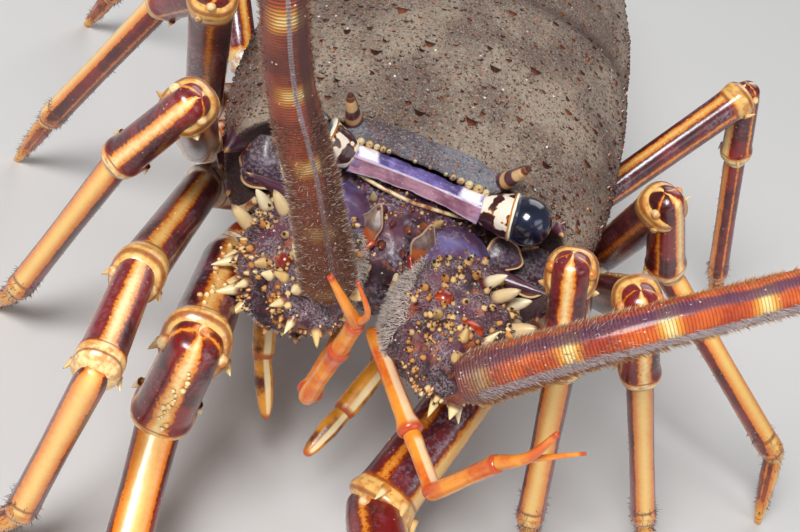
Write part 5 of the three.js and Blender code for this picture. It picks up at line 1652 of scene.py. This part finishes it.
for side, sign in SIDES:
    start, stop = ANTENNA[side]["block"]
    inner = 0.0 if sign < 0 else math.pi
    tufts = [segment_bristles(
        "tuft", start, stop, X_AXIS, BLOCK_PROFILE, 3000, (0.15, 1.0), inner, 1.5, 1.5, 0.075, PALE_BRISTLE
    )]
    tufts.append(segment_bristles(
        "tuft", start, stop, X_AXIS, BLOCK_PROFILE, 2600, (0.1, 1.0), 0, 6.28, 0.8, 0.065, LILAC_BRISTLE
    ))
    base_coat = join(tufts, "base_bristles_" + side)
    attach(base_coat, "root")
    tufts = []
    for index, joints in enumerate(LEG_POSE[side]):
        root, hip, knee, wrist, ankle, tip = np.array(joints, float)
        k, m, c, p, d = LEG_SIZES[index]
        normal = unit(np.cross(knee - hip, ankle - knee))
        shin = [[0, p * 0.95, p], [0.5, p * 0.9, p * 0.95], [1, p * 0.95, p * 1.02]]
        foot = [[0, d, d], [0.8, d * 0.62, d * 0.62], [1, 0.75, 0.75]]
        tufts.append(segment_bristles(
            "tuft", wrist, ankle, normal, shin, 130, (0.84, 0.99), 0, 6.28, 1.2, 0.07, DARK_BRISTLE
        ))
        tufts.append(segment_bristles(
            "tuft", ankle, tip, normal, foot, 360, (0.02, 0.8), 0, 6.28, 1.1, 0.065, DARK_BRISTLE
        ))
        tufts.append(segment_bristles(
            "tuft", wrist, ankle, normal, shin, 90, (0.05, 0.85), -math.pi / 2, 2.4, 0.8, 0.06, DARK_BRISTLE
        ))
    leg_coat = join(tufts, "leg_bristles_" + side)
    for vertex in leg_coat.data.vertices:
        vertex.co.z = max(vertex.co.z, 0.0002)
    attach(leg_coat, "root")
print("bristles done")

# %% [markdown]
# ## Finishes of the small feelers and mouth limbs
# The small feelers are bright orange, with a cream line along them and a darker cup at each
# joint. The mouth limbs are darker, with a pale stripe. Noise alone would lose the lines, so
# two or three marks are laid over the shared mottle by the numbers of the skin.

# %% Finishes: orange limbs
orange_finish, shader, place = finish("orange_limb_finish", roughness=0.28, coat=0.45, subsurface=0.12)
lie = lie_of(place)
ground = mottled(place, "#f29a33", "#d8601a", 130.0, 0.5)
stripe = times(fade(lie[1], 0.82, 0.95), fade(lie[2], 0.1, 0.2))
colour = paint(ground, stripe, "#f6e2b8", 0.7)
cup = fade(lie[2], 0.9, 0.97)
colour = paint(colour, cup, "#c24a1c")
surface(shader, place, colour, 1000.0, 0.15)

mouth_finish, shader, place = finish("mouth_limb_finish", roughness=0.35, coat=0.3, subsurface=0.1)
lie = lie_of(place)
ground = mottled(place, "#e89a2c", "#5c2010", 150.0, 0.42)
pale = near_to(turn_of(lie), 0.4, 0.25, 0.15)
colour = paint(ground, pale, "#f6e4b4", 0.8)
colour = paint(colour, fade(lie[2], 0.88, 0.97), "#b8581c")
surface(shader, place, colour, 1000.0, 0.2)
print("finishes so far:", len(bpy.data.materials))

# %% [markdown]
# ## Small feelers and mouth limbs
# The small paired feelers are smooth rods with cup-shaped joints and two thin whips. Under the
# face hang two jointed mouth limbs. Cylinders would do for the rods, but a skin gives the
# swollen cups in the same piece.

# %% Small feelers and mouth limbs: form
ANTENNULE = {
    "right": {
        "stem": [(-2.2, -26, 54), (-5, -46, 49)],
        "wrist": [(-5, -46, 49), (-3.6, -52, 67), (-3.2, -56, 77)],
        "whips": [
            [(-3.2, -56, 77), (-6, -59, 82), (-10.5, -61, 88)],
            [(-3.2, -56, 77), (-2.4, -60, 83), (-6, -61, 89)]
        ],
    },
    "left": {
        "stem": [(2.4, -26, 53), (15.5, -46, 49.5)],
        "wrist": [(15.5, -46, 49.5), (22, -57, 48.5), (28, -64, 67)],
        "whips": [
            [(28, -64, 67), (31, -67, 73), (33, -68, 81)], [(28, -64, 67), (33, -66, 73), (39, -67, 78.5)]
        ],
    },
}
MOUTH_LIMBS = {
    "right": [(-10, 3, 42), (-18.5, -12, 38), (-15, -18, 29), (-9.5, -24, 19)],
    "left": [(10, 3, 42), (8, -17, 38), (4, -27, 31), (0, -36, 25)],
}


def even(rows):
    return [[t, a, a] for t, a in rows]


for side in ("right", "left"):
    small = ANTENNULE[side]
    stem = segment(
        "small_feeler_stem_" + side, *small["stem"], X_AXIS,
        even([(0, 1.7), (0.5, 1.75), (0.85, 1.9), (0.93, 2.5), (1, 2.6)]), sides=24, power=2.0,
        softness=0.03, material=orange_finish
    )
    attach(stem, "root")
    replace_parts(stem, f"antennule_{side}_stem")
    a, b, c = small["wrist"]
    parts = [
        segment(
            "rod", a, b, X_AXIS,
            even([(-0.08, 1.6), (0.1, 1.75), (0.3, 1.6), (0.85, 1.65), (0.95, 2.1), (1.05, 1.9)]), sides=24,
            power=2.0, softness=0.03
        ),
        segment(
            "rod", b, c, X_AXIS, even([(-0.08, 1.5), (0.15, 1.65), (0.5, 1.5), (0.85, 1.6), (1, 1.8)]),
            sides=24, power=2.0, softness=0.03
        ),
    ]
    for i, points in enumerate(small["whips"]):
        path, far = whip_curve(points, 24)
        s = np.linspace(0, far[-1], 60)
        centres = spots_along(path, far, s)
        radius = (1.3 if i == 0 else 0.8) * np.interp(s / far[-1], [0, 0.5, 1], [1, 0.7, 0.4])
        radius = radius * (1 + 0.05 * np.cos(s * 2 * math.pi / 0.55))
        parts.append(skin("small_whip", rings_along(centres, radius, radius, X_AXIS, 14, 2.0)))
    for part in parts:
        dye(part, orange_finish)
    tip_piece = join(parts, "small_feeler_tip_" + side)
    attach(tip_piece, "root")
    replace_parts(tip_piece, f"antennule_{side}_tip")

    a, b, c, d = MOUTH_LIMBS[side]
    parts = [
        segment("mouth", a, b, X_AXIS, even([(0, 3.0), (0.4, 3.1), (0.85, 3.0), (1, 2.6)]), sides=24),
        segment(
            "mouth", b, c, X_AXIS, even([(-0.12, 2.1), (0.5, 2.45), (0.9, 2.35), (1.05, 1.9)]), sides=24
        ),
        segment("mouth", c, d, X_AXIS, even([(-0.1, 1.8), (0.4, 2.05), (0.8, 1.5), (1, 0.8)]), sides=24),
    ]
    for part in parts:
        dye(part, mouth_finish)
    mouth = join(parts, "mouth_limb_" + side)
    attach(mouth, "root")
    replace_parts(mouth, "maxilliped_" + side)
print("points of the last mouth limb:", len(mouth.data.vertices))

# %% [markdown]
# ## Finishes of the tail
# The tail is red-brown with round pale spots of three sizes. Each ring has a rust and cream
# rear edge, and the fan is hard at its root and soft and striped behind. The photo doesn't
# show the tail, so its colours follow the species. Cells give the spots, as noise alone would
# make them ragged.

# %% Finishes: tail
def spots_of(place, colour):
    """Round pale spots of three sizes."""
    for size, reach, edge, share in (
        (72.0, 0.11, 0.03, 0.62), (210.0, 0.1, 0.04, 0.5), (620.0, 0.1, 0.08, 0.35)
    ):
        dots, hue = cells_of(place, size, reach, reach + edge, 0.9)
        shade = put("ShaderNodeSeparateXYZ", Vector=hue)
        colour = paint(colour, times(dots, fade(shade[0], share, share + 0.04)), "#dcb886")
    return colour


tail_finish, shader, place = finish("tail_shell_finish", roughness=0.4, coat=0.3)
lie = lie_of(place)
ground = mottled(place, "#84443a", "#4e2228", 95.0, 0.5)
colour = spots_of(place, ground)
dust = times(fade(cloud_of(place, 1300.0, 4.0), 0.46, 0.6), fade(cloud_of(place, 60.0), 0.46, 0.6, 0, 0.6))
colour = paint(colour, dust, "#8c7c7c")
colour = paint(colour, near_to(lie[2], 0.45, 0.02, 0.05), "#36161c")
flank = fade(lie[1], -0.5, 0.05, 1.0, 0.0)
colour = paint(colour, flank, "#c48a5a", 0.6)
colour = paint(colour, near_to(lie[2], 0.91, 0.012, 0.02), "#38141a")
colour = paint(colour, fade(lie[2], 0.935, 0.955, 0, 0.85), "#c8743a")
colour = paint(colour, fade(lie[2], 0.975, 0.985, 0, 0.85), "#e8c490")
# painted shade: the end face behind the rear edge, in the gap towards the next piece, is darkened
colour = paint(colour, fade(lie[2], 1.0005, 1.004), "#45282a")
surface(shader, place, colour, 800.0, 0.45)

side_plate_finish, shader, place = finish("side_plate_finish", roughness=0.4, coat=0.3)
lie = lie_of(place)
ground = mottled(place, "#8a463a", "#4e2228", 120.0, 0.5)
colour = spots_of(place, ground)
rim = fade(calc("ABSOLUTE", lie[0]), 0.8, 0.92)
colour = paint(colour, rim, "#d08a4c", 0.8)
colour = paint(colour, fade(lie[2], 0.55, 0.78), "#e6c08a")
surface(shader, place, colour, 800.0, 0.35)

fan_finish, shader, place = finish("tail_fan_finish", roughness=0.42, coat=0.3)
lie = lie_of(place)
ground = mottled(place, "#94503c", "#562626", 110.0, 0.5)
hard = spots_of(place, ground)
stripes = calc("SINE", times(lie[0], 64.0))
soft = blend(fade(stripes, -0.6, 0.6), tone("#5a2a2c"), tone("#9a5a40"))
waver = times(calc("SUBTRACT", cloud_of(place, 90.0), 0.5), 0.16)
reach = calc("ADD", lie[2], waver)
colour = blend(fade(reach, 0.42, 0.52), hard, soft)
colour = paint(colour, near_to(reach, 0.47, 0.012, 0.03), "#d09a62")
colour = paint(colour, near_to(lie[2], 0.9, 0.02, 0.03), "#3a181c")
colour = paint(colour, fade(lie[2], 0.94, 0.97, 0, 0.8), "#dca660")
feed(colour, shader["Base Color"])
height = calc("ADD", times(stripes, fade(reach, 0.42, 0.55, 0, 0.5)), cloud_of(place, 900.0))
relief = put("ShaderNodeBump", Height=height, Strength=0.4, Distance=0.0004)
feed(relief[0], shader["Normal"])

leaf_finish, shader, place = finish("leaf_finish", roughness=0.45, subsurface=0.15)
ground = mottled(place, "#e2b078", "#b0583a", 140.0, 0.5)
surface(shader, place, ground, 900.0, 0.2)
print("finishes so far:", len(bpy.data.materials))

# %% [markdown]
# ## Tail rings
# Six rings of shell overlap like roof tiles behind the back shell. Each has a cross groove. All
# but the last have a pointed plate on each side, and four of them a pair of soft swimming
# leaves. One ring could be copied and scaled, but the tail bends, so each is a skin of its own
# between two sloping joints.

# %% Tail rings
TAIL_HALF_WIDTH = [33, 32.5, 31.5, 30, 28, 25.5, 22.5]
TAIL_CENTRES = np.array(
    [
        (0, 122, 65), (0, 143, 64), (0, 165, 60.5), (0, 186, 54), (0, 205, 45), (0, 221, 34.5),
        (0, 235, 23.5)
    ],
    float
)


def joint_slope(index):
    if index == 0:
        return np.array([0, 1.0, 0])
    return unit(TAIL_CENTRES[min(index + 1, 6)] - TAIL_CENTRES[index - 1])


RING_SIDES, RING_BRISTLES = 132, 420
RING_ROWS = [
    [0, 0.95], [0.12, 0.965], [0.2, 0.99], [0.36, 0.985], [0.43, 0.955], [0.5, 0.965], [0.58, 0.995],
    [0.8, 1.0], [1, 0.985]
]
TAIL_COAT = []


def ring_points(index, t, swell, angle):
    """Points on tail ring number index, at the share t of its length, and their outward ways."""
    c, s = np.cos(angle), np.sin(angle)
    start = TAIL_CENTRES[index] + joint_slope(index) * GAP
    centre = start * (1 - t) + TAIL_CENTRES[index + 1] * t
    width = TAIL_HALF_WIDTH[index] + (TAIL_HALF_WIDTH[index + 1] - TAIL_HALF_WIDTH[index]) * t
    up = np.cross(X_AXIS, unit(joint_slope(index) * (1 - t) + joint_slope(index + 1) * t))
    x = np.sign(c) * abs(c) ** np.where(s > 0, 0.92, 0.6) * width * swell
    z = np.sign(s) * abs(s) ** np.where(s > 0, 0.92, 0.8) * np.where(s > 0, 0.78, 0.42) * width * swell
    return centre + np.outer(x, X_AXIS) + np.outer(z, up), unit(np.outer(c, X_AXIS) + np.outer(s, up))


for index in range(6):
    rows = smooth_rows(RING_ROWS, 60, 0.03)
    angle = round_angles(RING_SIDES)
    rings = [ring_points(index, t, swell, angle)[0] for t, swell in rows]
    for t, swell in ((0.44, 0.962), (0.985, 0.985)):
        spread = math.radians(8) + math.radians(164) * chance.random(RING_BRISTLES)
        place, outward = ring_points(index, t, swell, spread)
        unwrap = np.stack([spread / 6.3, np.full(RING_BRISTLES, (index + t) / 6)], axis=1)
        TAIL_COAT.append((place, outward * 0.5 + joint_slope(index + 1) * 0.9, unwrap))
    ring_piece = skin("tail_ring", rings, rows[:, 0], material=tail_finish)
    roughen(ring_piece, 7.0, 0.12, index)
    parts = [ring_piece]
    middle = TAIL_CENTRES[index] * 0.45 + TAIL_CENTRES[index + 1] * 0.55
    width = (TAIL_HALF_WIDTH[index] + TAIL_HALF_WIDTH[index + 1]) / 2
    slope = unit(joint_slope(index) + joint_slope(index + 1))
    down = unit(np.cross(slope, X_AXIS))
    for sign in (-1, 1):
        if index == 5:
            continue
        rows = smooth_rows(
            [
                [0.05, 0, 8, 2.4], [0.3, 0.4, 7.2, 2.2], [0.5, 0.9, 6.2, 1.9], [0.68, 2.6, 3.4, 1.3],
                [0.84, 5, 0.3, 0.3]
            ],
            40, 0.04
        )
        centres = middle + sign * width * 0.87 * X_AXIS
        centres = centres + np.outer(rows[:, 0] * width, down) + np.outer(rows[:, 1], slope)
        parts.append(skin(
            "side_plate", rings_along(centres, rows[:, 2], rows[:, 3], slope, 28, 2.0), rows[:, 0],
            material=side_plate_finish
        ))
        if index > 0:
            rows = smooth_rows(
                [
                    [0, 0, 2, 1.4], [3, 1.2, 4, 1.2], [6, 2.5, 5, 1.0], [10, 4.6, 4.6, 0.8],
                    [13, 6.5, 2.6, 0.5]
                ],
                30, 0.05
            )
            centres = middle + sign * width * 0.5 * X_AXIS
            centres = centres + np.outer(width * 0.36 + rows[:, 0], down) + np.outer(rows[:, 1], slope)
            parts.append(skin(
                "leaf", rings_along(centres, rows[:, 2], rows[:, 3], X_AXIS, 24, 2.0), material=leaf_finish
            ))
    ring_piece = join(parts, f"tail_ring_{index + 1}")
    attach(ring_piece, "root")
    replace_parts(ring_piece, f"abdomen_{index + 1}")
print("roots kept for the ring fringe:", len(TAIL_COAT) * RING_BRISTLES)

# %% [markdown]
# ## Tail fan
# Five ribbed plates make the fan, one in the middle and two on each side. The ribs could be a
# bump. Here each plate is a flat skin whose thickness follows a wave across it, so that the
# ribs catch the light.

# %% Tail fan
FAN_PROFILE = [
    [0, 0.55, 5], [0.25, 0.9, 4.8], [0.7, 1, 2.6], [0.88, 0.95, 2], [0.95, 0.84, 1.6], [0.985, 0.66, 1.3],
    [1, 0.42, 1.1]
]
FAN_ROWS, RIB_POINTS, FAN_BRISTLES = 90, 16, 620
FAN_COAT = []


def fan_plate(name, start, stop, across, width, ribs):
    start, stop, across = np.array(start, float), np.array(stop, float), np.array(across, float)
    along = unit(stop - start)
    up = unit(np.cross(across, along))
    rows = smooth_rows(FAN_PROFILE, FAN_ROWS, 0.02)
    sides = ribs * RIB_POINTS
    angle = round_angles(sides)
    c, s = np.cos(angle), np.sin(angle)
    rib = 1 + 0.13 * np.cos(c * ribs * math.pi * 1.7)
    x = np.outer(rows[:, 1] * width, c)
    z = np.outer(rows[:, 2] * 0.5, np.sign(s) * abs(s) ** 0.6 * rib)
    centres = start + np.outer(rows[:, 0], stop - start)
    rings = centres[:, None] + x[..., None] * across + z[..., None] * up
    piece = skin(name, rings, rows[:, 0], material=fan_finish)
    pick = FAN_ROWS - 1 - (chance.random(FAN_BRISTLES) ** 1.6 * 50).astype(int)
    lean = np.where(chance.random(FAN_BRISTLES) < 0.5, -1.0, 1.0)
    lean = lean * np.where(pick > 84, chance.random(FAN_BRISTLES), 1.0)
    place = centres[pick] + np.outer(rows[pick, 1] * width * lean, across)
    ways = along * np.where(pick > 78, 1.0, 0.5)[:, None] + np.outer(lean * 0.6, across)
    ways = ways + 0.12 * chance.normal(size=place.shape)
    FAN_COAT.append((place, ways, np.stack([0.5 + 0.45 * lean, rows[pick, 0]], axis=1)))
    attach(piece, "root")
    return piece


tail_y, tail_z = TAIL_CENTRES[6][1:]
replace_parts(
    fan_plate("fan_middle", (0, tail_y - 4, tail_z + 3.4), (0, tail_y + 43.6, 10.4), X_AXIS, 14, 6),
    "telson"
)
for side, sign in SIDES:
    for name, turn, width, x, drop, dip in (
        ("inner", 0.42, 11.5, 11, -1.5, -0.26), ("outer", 0.85, 12.5, 15, -6, -0.2)
    ):
        start = np.array([sign * x, tail_y - 3, tail_z + drop])
        heading = unit([sign * math.sin(turn), math.cos(turn), dip])
        across = np.array([math.cos(turn), -sign * math.sin(turn), 0])
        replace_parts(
            fan_plate(f"fan_{name}_{side}", start + heading * 2, start + heading * 41.8, across, width, 5),
            f"uropod_{side}_{name}"
        )
print("roots kept for the fan fringe:", len(FAN_COAT) * FAN_BRISTLES)

# %% [markdown]
# ## Bristles of the tail
# A short soft fringe edges each tail ring and each plate of the fan. Its roots were kept while
# the rings and plates were made, because the points are known there, and here they are grown
# as one mesh for the rings and one for the fan.

# %% Bristles of the tail
def tail_bristles(name, coat, length, radius, material):
    """One fringe from lists of roots, ways and places on the unwrap."""
    roots, ways, unwrap = (np.concatenate([entry[k] for entry in coat]) for k in range(3))
    size = 0.6 + 0.7 * chance.random(len(roots))
    fringe = sow(name, BRISTLE, roots, ways, length * size, radius, 0.5, material)
    root_patches(fringe, BRISTLE, unwrap)
    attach(fringe, "root")


tail_bristles("tail_ring_fringe", TAIL_COAT, 1.5, 0.07, GREY_BRISTLE)
tail_bristles("tail_fan_fringe", FAN_COAT, 1.6, 0.075, BROWN_BRISTLE)
print("tail fringes done")

# %% [markdown]
# ## Breast plate
# Under the body the legs meet on a breast plate that widens to the rear. The photo doesn't
# show it, so it is one plain skin with the finish of the tail.

# %% Breast plate
BREAST_ROWS = 60
breast_rows = smooth_rows([[2, 8], [14, 13], [34, 17], [56, 21], [76, 25], [90, 24]], BREAST_ROWS, 0.04)
centres = np.stack([0 * breast_rows[:, 0], breast_rows[:, 0], np.full(BREAST_ROWS, 43.0)], axis=1)
breast = skin(
    "breast_plate", rings_along(centres, breast_rows[:, 1], np.full(BREAST_ROWS, 4.2), X_AXIS, 40, 2.6),
    material=tail_finish
)
roughen(breast, 8.0, 0.4, 11.0)
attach(breast, "root")
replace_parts(breast, "sternum")
print("points of the breast plate:", len(breast.data.vertices))
